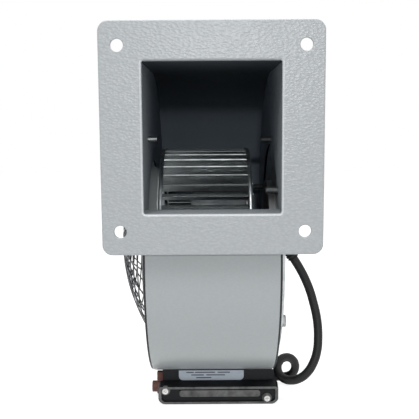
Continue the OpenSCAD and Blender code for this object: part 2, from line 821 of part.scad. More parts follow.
// One ring of points round a route point, square to the way the route runs there
function route_ring(p, way) =
    let (side = heading([0, 0, 0], cross(way, cable_across)), up = cross(side, way))
    [for (j = [0:cable_sides - 1]) let (turn = 360 * j / cable_sides)
        p + cable_d / 2 * (cos(turn) * side + sin(turn) * up)];

// Tube swept along the route: side faces between rings, and a flat end at the boot and the gland
module motor_cable() {
    gland_end = [box_right + gland_l, gland_at[0], gland_at[1]];
    route = concat([boot_end], cable_drop, cable_loop, cable_tail, [gland_end]);
    last = len(route) - 1;
    n = cable_sides;
    boot_way = [cos(boot_angle), 0, -sin(boot_angle)];
    ways = [for (i = [0:last]) i == 0 ? boot_way
        : i == last ? [-1, 0, 0] : heading(route[i - 1], route[i + 1])];
    points = [for (i = [0:last]) each route_ring(route[i], ways[i])];
    sides = [for (i = [0:last - 1], j = [0:n - 1]) let (a = i * n + j, b = i * n + (j + 1) % n)
        each [[a, b, a + n], [b, b + n, a + n]]];
    start_cap = [[for (j = [0:n - 1]) n - 1 - j]];
    end_cap = [[for (j = [0:n - 1]) last * n + j]];
    color([0.12, 0.12, 0.13]) polyhedron(points, concat(sides, start_cap, end_cap));
}

// Terminal box

// Area of the box seen from the side, with the saddle cut out of its roof
module box_area(wall) {
    difference() {
        translate([box_front + wall, box_bottom + wall])
            square([box_d - 2 * wall, box_top - box_bottom - wall]);
        scroll_area(-seat_gap - wall);
    }
}

module terminal_box() {
    color([0.14, 0.14, 0.15]) difference() {
        union() {
            difference() {
                sideways() translate([0, 0, box_left]) linear_extrude(box_w) box_area(0);
                sideways() translate([0, 0, box_left + box_wall])
                    linear_extrude(box_w - 2 * box_wall) box_area(box_wall);
                translate([box_left + window_side, box_front - past, window_bottom])
                    cube([box_w - 2 * window_side, box_wall + 2 * past, window_top - window_bottom]);
            }
            for (at = cover_screw_at) translate([at[0], box_front, at[1]])
                rotate([-90, 0, 0]) cylinder(r = box_boss_r, h = box_wall + cover_boss_l);
        }
        for (at = cover_screw_at) translate([at[0], box_front - past, at[1]])
            rotate([-90, 0, 0]) cylinder(d = cover_screw_d, h = box_wall + cover_boss_l);
        for (sx = [-1, 1]) translate([box_shift + sx * box_screw_x, box_screw_y, roof_z - past])
            cylinder(r = screw_d / 2 + screw_clear, h = box_wall + 2 * past);
        sideways() translate([plug_at[0], plug_at[1], box_left - past])
            cylinder(d = plug_hole_d, h = box_wall + 2 * past);
        sideways() translate([gland_at[0], gland_at[1], box_right - box_wall - past])
            cylinder(d = gland_hole_d, h = box_wall + 2 * past);
    }
}

module terminal_box_screws() {
    color([0.76, 0.77, 0.78]) for (sx = [-1, 1])
        translate([box_shift + sx * box_screw_x, box_screw_y, roof_z]) rotate([180, 0, 0])
            pan_screw(screw_d, box_wall + seat_gap + sheet_t + box_screw_tip);
}

module cover_outline(inset) {
    low = box_bottom + inset;
    high = cover_top - inset;
    cut = cover_chamfer - inset * 0.5;
    polygon([[cover_left + inset + cut, low], [cover_right - inset - cut, low],
        [cover_right - inset, low + cut], [cover_right - inset, high],
        [cover_left + inset, high], [cover_left + inset, low + cut]]);
}

// Moulded cover: a raised border round a recess, with a boss for each of its two screws
module box_cover() {
    color([0.17, 0.17, 0.18]) translate([0, cover_back, 0]) rotate([90, 0, 0]) difference() {
        union() {
            linear_extrude(cover_t - cover_recess) cover_outline(0);
            linear_extrude(cover_t) difference() {
                cover_outline(0);
                cover_outline(cover_border);
            }
            for (at = cover_screw_at) translate(at) cylinder(r = cover_boss_r, h = cover_t - screw_sink);
        }
        for (at = cover_screw_at) translate([at[0], at[1], -past])
            cylinder(r = cover_screw_d / 2 + screw_clear, h = cover_t + 2 * past);
    }
}

module cover_gasket() {
    color([0.08, 0.08, 0.09]) translate([0, box_front, 0]) rotate([90, 0, 0]) linear_extrude(gasket_t)
        difference() {
            cover_outline(gasket_inset);
            translate([box_left + window_side, window_bottom])
                square([box_w - 2 * window_side, window_top - window_bottom]);
            for (at = cover_screw_at) translate(at) circle(r = cover_screw_d / 2 + screw_clear);
        }
}

module cover_screws() {
    color([0.80, 0.80, 0.79]) for (at = cover_screw_at)
        translate([at[0], cover_front + screw_sink, at[1]]) rotate([90, 0, 0])
            pan_screw(cover_screw_d, cover_t - screw_sink + gasket_t + box_wall);
}

module box_label() {
    color([0.80, 0.83, 0.86])
        translate([box_shift + label_shift - label_w / 2, box_front - label_t, cover_top])
            cube([label_w, label_t, box_top - cover_top - label_side]);
}

module cable_gland() {
    color([0.12, 0.12, 0.13]) sideways() translate([gland_at[0], gland_at[1], box_right]) {
        cylinder(d = gland_d, h = gland_l / 2, $fn = 6);
        cylinder(d1 = gland_d - gland_lip, d2 = cable_d + gland_lip, h = gland_l);
        translate([0, 0, -box_wall]) cylinder(r = gland_hole_d / 2 - stem_clear, h = box_wall + bite);
    }
}

// Closing plug in the supply inlet, with a tab to pull it out by
module inlet_plug() {
    color([0.48, 0.22, 0.16]) {
        sideways() translate([plug_at[0], plug_at[1], box_left]) mirror([0, 0, 1]) {
            cylinder(d = plug_d, h = tab_t);
            cylinder(d = plug_hole_d, h = plug_reach);
            translate([0, 0, -box_wall]) cylinder(r = plug_hole_d / 2 - stem_clear, h = box_wall + bite);
        }
        translate([box_left - tab_t, plug_at[0] - tab_w / 2, plug_at[1]]) cube([tab_t, tab_w, tab_h]);
    }
}

// Inside the terminal box

// Repeats a shape at each pole of the terminal block, on the box's floor
module at_poles() {
    for (i = [0:block_poles - 1])
        translate(block_at + [(i + 0.5) * block_pitch - block_size[0] / 2, 0, 0]) children();
}

module terminal_block() {
    color([0.85, 0.84, 0.78]) difference() {
        translate(block_at - [block_size[0] / 2, block_size[1] / 2, 0]) cube(block_size);
        at_poles() {
            for (sy = [-1, 1]) translate([0, sy * block_well_y, block_size[2] - block_well])
                cylinder(r = block_well_r, h = block_well + past);
            translate([0, -far / 2, wire_hole_z]) rotate([-90, 0, 0]) cylinder(r = wire_hole_r, h = far);
        }
    }
}

module terminal_screws() {
    color([0.80, 0.74, 0.50]) at_poles() for (sy = [-1, 1])
        translate([0, sy * block_well_y, block_size[2] - block_well])
            cylinder(r = terminal_screw_r, h = terminal_screw_h);
}

module run_capacitor() {
    color([0.20, 0.21, 0.24]) translate([
        box_left + box_wall + capacitor_side,
        box_back - box_wall - capacitor_size[1] - capacitor_back,
        box_floor]) cube(capacitor_size);
}

outlet_flange();
scroll_wrapper();
inlet_side_plate();
motor_side_plate();
inlet_ring();
guard_rings();
guard_spokes();
guard_clips();
guard_screws();
motor_plate();
motor_plate_bolts();
motor_flange();
motor_flange_screws();
stator_core();
stator_coils();
bearing_outer_rings();
bearing_inner_rings();
bearing_balls();
motor_shaft();
shaft_circlip();
rotor_cup();
rotor_core();
impeller_blades();
impeller_end_ring();
impeller_back_disc();
impeller_rivets();
cable_boot();
motor_cable();
terminal_box();
terminal_box_screws();
box_cover();
cover_gasket();
cover_screws();
box_label();
cable_gland();
inlet_plug();
terminal_block();
terminal_screws();
run_capacitor();
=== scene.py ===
import json
import math

import bmesh
import bpy
from bmesh.types import BMEdge, BMFace, BMVert
from mathutils import Matrix, Vector


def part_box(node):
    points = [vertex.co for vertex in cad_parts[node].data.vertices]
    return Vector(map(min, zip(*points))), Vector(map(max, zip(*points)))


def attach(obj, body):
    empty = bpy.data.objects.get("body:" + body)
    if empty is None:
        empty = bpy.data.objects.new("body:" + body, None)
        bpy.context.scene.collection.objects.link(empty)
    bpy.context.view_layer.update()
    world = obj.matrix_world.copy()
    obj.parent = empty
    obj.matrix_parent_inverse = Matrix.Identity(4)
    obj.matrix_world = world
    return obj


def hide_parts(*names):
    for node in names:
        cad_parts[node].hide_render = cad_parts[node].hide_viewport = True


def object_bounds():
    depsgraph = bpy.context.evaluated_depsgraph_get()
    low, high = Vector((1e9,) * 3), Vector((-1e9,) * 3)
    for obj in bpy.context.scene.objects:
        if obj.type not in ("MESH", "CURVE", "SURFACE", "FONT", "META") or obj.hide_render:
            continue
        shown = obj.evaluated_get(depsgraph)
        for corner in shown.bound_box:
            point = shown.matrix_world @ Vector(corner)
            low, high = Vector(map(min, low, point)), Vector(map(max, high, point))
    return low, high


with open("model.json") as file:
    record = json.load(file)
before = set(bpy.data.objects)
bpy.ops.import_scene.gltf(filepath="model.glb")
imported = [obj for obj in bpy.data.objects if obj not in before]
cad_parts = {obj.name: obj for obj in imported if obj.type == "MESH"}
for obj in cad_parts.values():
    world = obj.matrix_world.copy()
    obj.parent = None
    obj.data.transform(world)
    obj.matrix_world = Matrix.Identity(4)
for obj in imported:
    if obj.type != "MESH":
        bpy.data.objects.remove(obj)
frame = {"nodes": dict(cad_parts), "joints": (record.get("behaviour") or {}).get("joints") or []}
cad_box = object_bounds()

# Camera: it stands in front of the outlet, a little above the flange's middle, and looks down at
# the fan. Its place and lens were fitted to the corners and holes of the flange.
MM = 0.001
scene = bpy.context.scene
scene.view_settings.view_transform = "Standard"
camera_data = bpy.data.cameras.new("camera")
camera_data.lens = 60.117
camera_data.sensor_width = 36
camera = bpy.data.objects.new("camera", camera_data)
camera.location = Vector((-2.06, -467.82, 9.94)) * MM
camera.rotation_euler = [math.radians(turn) for turn in (83.085, 0.349, -0.036)]
scene.collection.objects.link(camera)
scene.camera = camera


# Studio: a white floor under the terminal box and a white surround, which are lifted to white only
# where the camera, gloss and glass see them. Key, fill and top lamps light the fan, and a small lamp
# in front shines into the outlet.
def put(tree, socket, value):
    """Sets an input to a value, or links it to another node's socket."""
    if isinstance(value, bpy.types.NodeSocket):
        tree.links.new(value, socket)
    else:
        socket.default_value = value


def add_node(tree, kind, **inputs):
    """A shader node whose inputs are set to values or linked to sockets."""
    node = tree.nodes.new("ShaderNode" + kind)
    for name, value in inputs.items():
        put(tree, node.inputs[name.replace("_", " ")], value)
    return node


def add_math(tree, operation, first, second):
    """A sum or another operation on two values or sockets."""
    node = tree.nodes.new("ShaderNodeMath")
    node.operation = operation
    for socket, value in zip(node.inputs, (first, second)):
        put(tree, socket, value)
    return node.outputs[0]


def seen_directly(tree):
    """1 for what the camera, gloss and glass see, 0 for the light on the fan."""
    path = tree.nodes.new("ShaderNodeLightPath")
    seen = add_math(tree, "MAXIMUM", path.outputs["Is Camera Ray"], path.outputs["Is Glossy Ray"])
    return add_math(tree, "MAXIMUM", seen, path.outputs["Is Transmission Ray"])


surround_light = 0.20
world = bpy.data.worlds.new("studio")
scene.world = world
world.use_nodes = True
tree = world.node_tree
surround = add_node(tree, "MapRange", Value=seen_directly(tree), To_Min=surround_light, To_Max=1.0)
tree.links.new(surround.outputs["Result"], tree.nodes["Background"].inputs["Strength"])
tree.nodes["Background"].inputs["Color"].default_value = (1, 1, 1, 1)

floor_gap = 0.3 * MM
floor_size = 6.0
floor_white = 0.88
floor_lift = 0.80
bm = bmesh.new()
bmesh.ops.create_grid(bm, x_segments=1, y_segments=1, size=floor_size / 2)
bmesh.ops.translate(bm, vec=(0, 0, cad_box[0][2] - floor_gap), verts=bm.verts)
floor_mesh = bpy.data.meshes.new("studio_floor")
bm.to_mesh(floor_mesh)
bm.free()
floor_material = bpy.data.materials.new("studio_floor")
floor_material.use_nodes = True
tree = floor_material.node_tree
tree.nodes.remove(tree.nodes["Principled BSDF"])
lift = add_math(tree, "MULTIPLY", seen_directly(tree), floor_lift)
diffuse = add_node(tree, "BsdfDiffuse", Color=(floor_white, floor_white, floor_white, 1))
glow = add_node(tree, "Emission", Color=(1, 1, 1, 1), Strength=lift)
both = tree.nodes.new("ShaderNodeAddShader")
tree.links.new(diffuse.outputs[0], both.inputs[0])
tree.links.new(glow.outputs[0], both.inputs[1])
tree.links.new(both.outputs[0], tree.nodes["Material Output"].inputs["Surface"])
floor_mesh.materials.append(floor_material)
studio_floor = bpy.data.objects.new("studio_floor", floor_mesh)
scene.collection.objects.link(studio_floor)

# Each lamp's place and width in metres, and its power in watts.
lamps = {
    "key_lamp": ((-0.36, -0.50, 0.72), 0.30, 2.2),
    "fill_lamp": ((0.95, -0.75, 0.40), 0.80, 1.2),
    "top_lamp": ((0.05, -0.25, 1.30), 0.90, 9.5),
    "front_lamp": ((0.05, -1.45, 0.285), 0.05, 3.6),
}
lamp_target = Vector((0, 0.08, -0.06))
for name, (place, size, power) in lamps.items():
    lamp_data = bpy.data.lights.new(name, "AREA")
    lamp_data.size = size
    lamp_data.energy = power
    lamp = bpy.data.objects.new(name, lamp_data)
    lamp.location = place
    lamp.rotation_euler = (lamp_target - lamp.location).to_track_quat("-Z", "Y").to_euler()
    scene.collection.objects.link(lamp)


# Motor cable: a round lead in a satin black sheath. It leaves the boot on the motor plate, hangs
# in a bow beside the scroll, makes one small loop and goes into the gland on the terminal box.
def new_group(name, inputs, outputs):
    """A shader node group with named inputs, with their values, and named outputs."""
    group = bpy.data.node_groups.new(name, "ShaderNodeTree")
    kinds = {float: "NodeSocketFloat", tuple: "NodeSocketColor"}
    for socket, value in inputs.items():
        made = group.interface.new_socket(socket, in_out="INPUT", socket_type=kinds[type(value)])
        made.default_value = value
    for socket, kind in outputs.items():
        group.interface.new_socket(socket, in_out="OUTPUT", socket_type=kinds[kind])
    return group, group.nodes.new("NodeGroupInput").outputs, group.nodes.new("NodeGroupOutput").inputs


def add_group(tree, group, **inputs):
    """A node group in a material, with that material's own values."""
    node = tree.nodes.new("ShaderNodeGroup")
    node.node_tree = group
    for name, value in inputs.items():
        node.inputs[name].default_value = value
    return node


# Where a Mix node keeps its factor, its two colours and its result.
mix_factor, mix_first, mix_second, mix_result = 0, 6, 7, 2


def mix_colors(tree, factor, first, second):
    """A colour between two, by a factor from 0 to 1."""
    node = tree.nodes.new("ShaderNodeMix")
    node.data_type = "RGBA"
    for place, value in ((mix_factor, factor), (mix_first, first), (mix_second, second)):
        put(tree, node.inputs[place], value)
    return node.outputs[mix_result]


def new_material(name, metallic=0.0, roughness=0.5):
    """A material with its shader, whose plain values sit on the shader's own sockets."""
    material = bpy.data.materials.new(name)
    material.use_nodes = True
    shader = material.node_tree.nodes["Principled BSDF"]
    shader.inputs["Metallic"].default_value = metallic
    shader.inputs["Roughness"].default_value = roughness
    return material, material.node_tree, shader


def add_bump(tree, shader, height, strength, depth):
    """Relief of a surface, in metres of depth."""
    relief = add_node(tree, "Bump", Strength=strength, Distance=depth, Height=height)
    tree.links.new(relief.outputs["Normal"], shader.inputs["Normal"])


def coat(tree, shader, surface, strength, depth):
    """Gives a shader the colour, roughness and relief of a surface's node group."""
    tree.links.new(surface.outputs["Color"], shader.inputs["Base Color"])
    tree.links.new(surface.outputs["Roughness"], shader.inputs["Roughness"])
    add_bump(tree, shader, surface.outputs["Height"], strength, depth)


def object_place(tree):
    """Where a point of a surface lies on the fan."""
    return tree.nodes.new("ShaderNodeTexCoord").outputs["Object"]


# Moulded surface: a fine grain, and soft patches of tone such as handling leaves on plastic.
moulded, given, made = new_group(
    "moulded_surface",
    {"Dark": (0.02, 0.02, 0.02, 1), "Light": (0.04, 0.04, 0.04, 1), "Grain": 2200.0, "Patch": 90.0},
    {"Color": tuple, "Roughness": float, "Height": float})
place = object_place(moulded)
grain = add_node(moulded, "TexNoise", Vector=place, Scale=given["Grain"], Detail=2.0)
patch = add_node(moulded, "TexNoise", Vector=place, Scale=given["Patch"], Detail=4.0, Roughness=0.6)
tone = add_node(moulded, "MapRange", Value=patch.outputs[0], From_Min=0.32, From_Max=0.68)
moulded.links.new(mix_colors(moulded, tone.outputs[0], given["Dark"], given["Light"]), made["Color"])
shine = add_node(moulded, "MapRange", Value=patch.outputs[0], From_Min=0.3, From_Max=0.7, To_Min=0.36,
                 To_Max=0.56)
moulded.links.new(shine.outputs[0], made["Roughness"])
moulded.links.new(grain.outputs[0], made["Height"])


def moulded_material(name, dark, light, grain, strength, depth, gloss=0.5, metallic=0.0):
    """Plastic, rubber or a casting with its own tones, grain and gloss."""
    material, tree, shader = new_material(name, metallic)
    shader.inputs["Specular IOR Level"].default_value = gloss
    surface = add_group(tree, moulded, Dark=(*dark, 1), Light=(*light, 1), Grain=grain)
    coat(tree, shader, surface, strength, depth)
    return material


# The two ends of the cable, at the boot's tail and in the gland.
axis = Vector(frame["joints"][0]["pos_m"])
along = Vector((1, 0, 0))
boot_neck, boot_tail = 6 * MM, 14 * MM
boot_angle = math.radians(58)
boot_back = 82 * MM
disc_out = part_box("motor_plate")[1].x
boot_base = Vector((disc_out, boot_back, axis.z))
tail_way = Vector((math.cos(boot_angle), 0, -math.sin(boot_angle)))
boot_end = boot_base + along * boot_neck + tail_way * boot_tail
gland_lo, gland_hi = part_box("cable_gland")
gland_end = Vector((gland_hi.x, (gland_lo.y + gland_hi.y) / 2, (gland_lo.z + gland_hi.z) / 2))

# The cable's thickness, and its route between the two ends, in millimetres.
cable_d = 7
cable_drop = [
    (70, 82, -105), (74.5, 81, -114), (78, 80, -123), (80.5, 78.5, -132), (82.5, 76.5, -141),
    (83.5, 74, -150), (83.5, 71.5, -159), (82.5, 69, -168), (79.5, 67, -177), (74.5, 66, -185),
    (68, 67, -190.5)]
cable_tail = [(66, 107.5, -202), (62.5, 109.5, -204), (58.5, 111, -205)]
loop_center = Vector((61, 73, -185))
loop_r = 8.5
loop_tilt = math.radians(16)
loop_advance = 42
loop_turn = math.radians(300)
loop_points = 12
loop_up = Vector((0, math.sin(loop_tilt), math.cos(loop_tilt)))
loop_axis = Vector((0, math.cos(loop_tilt), -math.sin(loop_tilt)))
cable_loop = []
for i in range(loop_points + 1):
    turn = loop_turn * i / loop_points
    outward = along * math.sin(turn) + loop_up * math.cos(turn)
    cable_loop.append(loop_center - outward * loop_r + loop_axis * (loop_advance * turn / math.tau))
hanging = [Vector(p) * MM for p in (*cable_drop, *cable_loop, *cable_tail)]
route = [boot_end, *hanging, gland_end]

cable_curve = bpy.data.curves.new("motor_lead", "CURVE")
cable_curve.dimensions = "3D"
cable_curve.bevel_depth = cable_d / 2 * MM
cable_curve.bevel_resolution = 7
cable_curve.resolution_u = 6
cable_curve.use_fill_caps = True
spline = cable_curve.splines.new("BEZIER")
spline.bezier_points.add(len(route) - 1)
for point, at in zip(spline.bezier_points, route):
    point.co = at
    point.handle_left_type = point.handle_right_type = "AUTO"
cable_sheath = moulded_material("cable_sheath", (0.006, 0.006, 0.007), (0.014, 0.014, 0.015), grain=900.0,
                                strength=0.12, depth=0.2 * MM, gloss=0.3)
cable_curve.materials.append(cable_sheath)
motor_lead = bpy.data.objects.new("motor_lead", cable_curve)
scene.collection.objects.link(motor_lead)
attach(motor_lead, "housing")
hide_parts("motor_cable")


# Scroll wrapper: one strip of steel sheet, bent from the duct's ceiling round the scroll and up to
# the rolled cut-off lip, then back to the flange. It is painted outside; inside it takes a darker copy
# of the paint that fades into painted shade deeper in and up towards the ceiling.
def add_piece(name, bm, materials, body="housing", nodes=(), sheet=0.0, edge=0.0, sharp=32):
    """A finished piece with its materials, on its body and in place of its nodes."""
    mesh = bpy.data.meshes.new(name)
    bm.to_mesh(mesh)
    bm.free()
    for material in materials:
        mesh.materials.append(material)
    mesh.shade_smooth()
    mesh.set_sharp_from_angle(angle=math.radians(sharp))
    piece = bpy.data.objects.new(name, mesh)
    scene.collection.objects.link(piece)
    if sheet:
        wall = piece.modifiers.new("sheet", "SOLIDIFY")
        wall.thickness = sheet
        wall.offset = -1
        wall.use_even_offset = True
    if edge:
        bevel = piece.modifiers.new("rounded_edges", "BEVEL")
        bevel.width = edge
        bevel.segments = 2
        bevel.limit_method = "ANGLE"
        bevel.angle_limit = math.radians(35)
        bevel.harden_normals = True
    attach(piece, body)
    if nodes:
        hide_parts(*nodes)


def only(kind, geometry):
    """The vertices, edges or faces among an operator's results."""
    return [element for element in geometry if isinstance(element, kind)]


def run_on(bm, end, step):
    """Draws the end of a strip or a profile straight on and returns its new end."""
    edges = only(BMEdge, end)
    if edges:
        drawn = bmesh.ops.extrude_edge_only(bm, edges=edges)["geom"]
    else:
        drawn = bmesh.ops.extrude_vert_indiv(bm, verts=end)["verts"]
    bmesh.ops.translate(bm, vec=step, verts=only(BMVert, drawn))
    return only(BMVert, drawn) + only(BMEdge, drawn)


def bend_on(bm, end, center, about, degrees, step):
    """Draws the end of a strip, profile or wire on round a bend, in steps of so many degrees.

    Returns its new end."""
    bent = bmesh.ops.spin(bm, geom=end, cent=center, axis=about, angle=math.radians(degrees),
                          steps=round(abs(degrees) / step))
    return bent["geom_last"]


seam_gap = 0.001 * MM


def close_up(bm):
    """Merges the seams of a closed shape and turns its faces outwards."""
    bmesh.ops.remove_doubles(bm, verts=bm.verts[:], dist=seam_gap)
    bmesh.ops.recalc_face_normals(bm, faces=bm.faces[:])


def round_off(bm, geom, radius, segments, affect="EDGES", clamp=False):
    """Rounds edges, or the corners of an outline."""
    bmesh.ops.bevel(bm, geom=geom, offset=radius, offset_type="OFFSET", affect=affect, segments=segments,
                    profile=0.5, material=-1, clamp_overlap=clamp)


def turn_towards(bm, way):
    """Turns an open sheet so that its face furthest along a direction looks that way."""
    way = Vector(way)
    bm.normal_update()
    furthest = max(bm.faces, key=lambda face: face.calc_center_median().dot(way))
    if furthest.normal.dot(way) < 0:
        bmesh.ops.reverse_faces(bm, faces=bm.faces[:])


# Hammered paint: short dimples about two millimetres wide, with a paler crown and a darker groove.
sway_share = 0.5
dimple_depth = 0.5 * MM
hammered, given, made = new_group(
    "hammered_paint",
    {"Groove": (0.50, 0.52, 0.54, 1), "Crown": (0.55, 0.57, 0.59, 1), "Dimples": 720.0},
    {"Color": tuple, "Roughness": float, "Height": float})
place = object_place(hammered)
place = add_node(hammered, "Mapping", Vector=place, Scale=(0.6, 0.6, 1.0)).outputs[0]
sway = add_node(hammered, "TexNoise", Vector=place, Scale=800.0, Detail=2.0)
dimple = hammered.nodes.new("ShaderNodeTexVoronoi")
dimple.feature = "SMOOTH_F1"
hammered.links.new(place, dimple.inputs["Vector"])
hammered.links.new(given["Dimples"], dimple.inputs["Scale"])
dimple.inputs["Smoothness"].default_value = 0.25
swayed = add_math(hammered, "MULTIPLY", sway.outputs[0], sway_share)
pebble = add_math(hammered, "ADD", dimple.outputs["Distance"], swayed)
tone = add_node(hammered, "MapRange", Value=pebble, From_Min=0.45, From_Max=0.95)
hammered.links.new(mix_colors(hammered, tone.outputs[0], given["Crown"], given["Groove"]), made["Color"])
cloud = add_node(hammered, "TexNoise", Vector=place, Scale=25.0, Detail=3.0)
shine = add_node(hammered, "MapRange", Value=cloud.outputs[0], From_Min=0.3, From_Max=0.7, To_Min=0.27,
                 To_Max=0.33)
hammered.links.new(shine.outputs[0], made["Roughness"])
hammered.links.new(pebble, made["Height"])


def painted_material(name, groove, crown, strength):
    """The casing's paint with its own tones and depth of dimples."""
    material, tree, shader = new_material(name)
    surface = add_group(tree, hammered, Groove=(*groove, 1), Crown=(*crown, 1))
    coat(tree, shader, surface, strength, dimple_depth)
    return material


sheet_paint = painted_material("sheet_paint", (0.49, 0.53, 0.54), (0.51, 0.55, 0.56), strength=0.06)

# The colour inside: a darker copy of the paint that fades from the mouth inwards into painted shade.
painted_inner_shade = (0.190, 0.230, 0.275)
painted_ceiling_shade = (0.033, 0.042, 0.052)
shaded_inner_groove, shaded_inner_crown = (0.28, 0.31, 0.33), (0.36, 0.39, 0.41)
inner_strength, inner_depth = 0.12, 0.4 * MM
inner_shade_ends = ("Y", 8 * MM, 115 * MM, painted_inner_shade)
ceiling_shade_ends = ("Z", 4 * MM, 51 * MM, painted_ceiling_shade)


def shaded_inner_material(name, *fades):
    """The casing's paint inside as a darker copy, which fades into a painted shade between two places on an
    axis.
    """
    material, tree, shader = new_material(name, roughness=0.6)
    surface = add_group(tree, hammered, Groove=(*shaded_inner_groove, 1), Crown=(*shaded_inner_crown, 1))
    spot = add_node(tree, "SeparateXYZ", Vector=object_place(tree)).outputs
    color = surface.outputs["Color"]
    for way, begin, stop, painted_shade in fades:
        fade = add_node(tree, "MapRange", Value=spot[way], From_Min=begin, From_Max=stop)
        fade.interpolation_type = "SMOOTHSTEP"
        color = mix_colors(tree, fade.outputs[0], color, (*painted_shade, 1))
    tree.links.new(color, shader.inputs["Base Color"])
    add_bump(tree, shader, surface.outputs["Height"], inner_strength, inner_depth)
    return material


sheet_t = 1.2 * MM
scroll_step = 14 * MM
fine_degrees = 2.5
lip_r = 4.5 * MM
lip_gap = 6 * MM
floor_above_axis = 34 * MM
wrap_lo, wrap_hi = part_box("scroll_wrapper")
flange_lo, flange_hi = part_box("outlet_flange")
impeller_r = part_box("impeller_end_ring")[1].z - axis.z

# The scroll's four centres, at the corners of a square, one for each quarter turn.
corner = scroll_step / 2
scroll_centers = [Vector((0, axis.y + y * corner, axis.z + z * corner))
                  for y, z in ((-1, -1), (1, -1), (1, 1), (-1, 1))]
front_r = scroll_centers[1].z - wrap_lo.z - scroll_step
lip_z = axis.z + floor_above_axis - lip_r
lip_y = axis.y - math.sqrt((impeller_r + lip_gap + lip_r) ** 2 - (lip_z - axis.z) ** 2)
lip_center = Vector((0, lip_y, lip_z))
return_z = lip_z - lip_r + sheet_t
rise = math.degrees(math.asin((return_z - scroll_centers[0].z) / front_r))

edge_r, edge_flat = 0.58 * MM, 1.2 * MM
bm = bmesh.new()
start = [bm.verts.new((x, flange_hi.y, wrap_hi.z))
         for x in (wrap_lo.x, wrap_lo.x + edge_flat, wrap_hi.x - edge_flat, wrap_hi.x)]
end = start + [bm.edges.new(pair) for pair in zip(start, start[1:])]
end = run_on(bm, end, (0, scroll_centers[3].y - flange_hi.y, 0))
for k in (3, 2, 1):
    end = bend_on(bm, end, scroll_centers[k], along, -90, fine_degrees)
end = bend_on(bm, end, scroll_centers[0], along, -rise, fine_degrees)
end = run_on(bm, end, (0, lip_y - only(BMVert, end)[0].co.y, 0))
end = bend_on(bm, end, lip_center, along, 180, step=15)
run_on(bm, end, (0, flange_hi.y - lip_y, 0))
bmesh.ops.remove_doubles(bm, verts=bm.verts[:], dist=seam_gap)
turn_towards(bm, (0, 1, 0))
sides = [edge for edge in bm.edges
         if edge.is_boundary and abs(edge.verts[0].co.x - edge.verts[1].co.x) < edge_r]
inside = bmesh.ops.solidify(bm, geom=bm.faces[:], thickness=sheet_t)["geom"]
# The inside faces take the darker paint that fades into painted shade deeper in and towards the ceiling.
for face in only(BMFace, inside):
    face.material_index = 1
round_off(bm, sides, edge_r, segments=3)
close_up(bm)
duct_shaded_paint = shaded_inner_material("duct_shaded_paint", inner_shade_ends, ceiling_shade_ends)
add_piece("scroll_sheet", bm, [sheet_paint, duct_shaded_paint], nodes=["scroll_wrapper"], sharp=40)


# Side plates: two flat steel plates cut to the scroll's outline, a step inside the wrapper's edges.
# The one on the inlet side has the inlet opening, the other a wider one that lets the impeller in.
flat_angle = math.radians(0.5)


def cad_copy(node):
    """A merged copy of a CAD node's mesh, with its flat faces whole again."""
    bm = bmesh.new()
    bm.from_mesh(frame["nodes"][node].data)
    bmesh.ops.remove_doubles(bm, verts=bm.verts[:], dist=2 * seam_gap)
    bmesh.ops.dissolve_limit(bm, angle_limit=flat_angle, verts=bm.verts[:], edges=bm.edges[:])
    bm.normal_update()
    return bm


# A near-black colour for the plates' cut edges: painted shade, as of the seam's shadow.
shaded_cut_edge = moulded_material("shaded_cut_edge", (0.012, 0.014, 0.016), (0.030, 0.033, 0.036), grain=1200.0,
                            strength=0.1, depth=0.2 * MM, gloss=0.3)
wall_shaded_paint = shaded_inner_material("wall_shaded_paint", inner_shade_ends)

# Each plate is painted outside; inside it takes a darker copy of the paint that fades into painted
# shade, and its cut edges are dark as painted shade.
edge_tilt = 0.5
for node, name, outward in (("inlet_side_plate", "inlet_wall", -1), ("motor_side_plate", "motor_wall", 1)):
    bm = cad_copy(node)
    for face in bm.faces:
        if abs(face.normal.x) < edge_tilt:
            face.material_index = 2
        elif face.normal.x * outward < 0:
            face.material_index = 1
    add_piece(name, bm, [sheet_paint, wall_shaded_paint, shaded_cut_edge], nodes=[node], edge=0.25 * MM)


# Outlet flange: a steel plate with four holes, welded round the duct's mouth and painted with the
# casing. Its edges are rounded, most at the mouth, whose rounded edge carries a painted highlight.
def each_once(elements):
    """Each vertex, edge or face once, in the order in which it comes."""
    return list(dict.fromkeys(elements))


def upright_loop(bm, corners, corner_r, y, segments=4):
    """A flat outline that faces the front, with rounded corners. Returns its edges."""
    before = set(bm.edges)
    verts = [bm.verts.new((x, y, z)) for x, z in corners]
    bm.faces.new(verts)
    round_off(bm, verts, corner_r, segments, affect="VERTICES")
    loop = [edge for edge in bm.edges if edge not in before]
    faces = each_once(face for edge in loop for face in edge.link_faces)
    bmesh.ops.delete(bm, geom=faces, context="FACES_ONLY")
    return loop


def circle_loop(bm, place, radius, segments=40):
    """A circle in the XY plane of its place. Returns its edges."""
    circle = bmesh.ops.create_circle(bm, cap_ends=False, segments=segments, radius=radius, matrix=place)
    return each_once(edge for v in circle["verts"] for edge in v.link_edges)


def rectangle(low, high, grow=0.0):
    """The corners of a rectangle, all moved out by the same distance."""
    left, right, bottom, top = low[0] - grow, high[0] + grow, low[1] - grow, high[1] + grow
    return [(left, bottom), (right, bottom), (right, top), (left, top)]


def rounding(radius, steps=4):
    """How far in and how deep each step of a rounded edge lies, from the flat face to the side."""
    turns = [math.pi / 2 * i / steps for i in range(steps + 1)]
    return [(radius * (1 - math.sin(turn)), radius * (1 - math.cos(turn))) for turn in turns]


def spread(loop, outward, depth):
    """Moves an upright outline outwards in its plane, and away from the front."""
    ways = {v: Vector() for edge in loop for v in edge.verts}
    middle = sum((v.co for v in ways), Vector()) / len(ways)
    for edge in loop:
        first, second = edge.verts
        side = (second.co - first.co).normalized().cross(Vector((0, 1, 0)))
        for v in edge.verts:
            ways[v] += side * math.copysign(1, side.dot(first.co - middle))
    for v, way in ways.items():
        v.co += way.normalized() * outward + Vector((0, depth, 0))


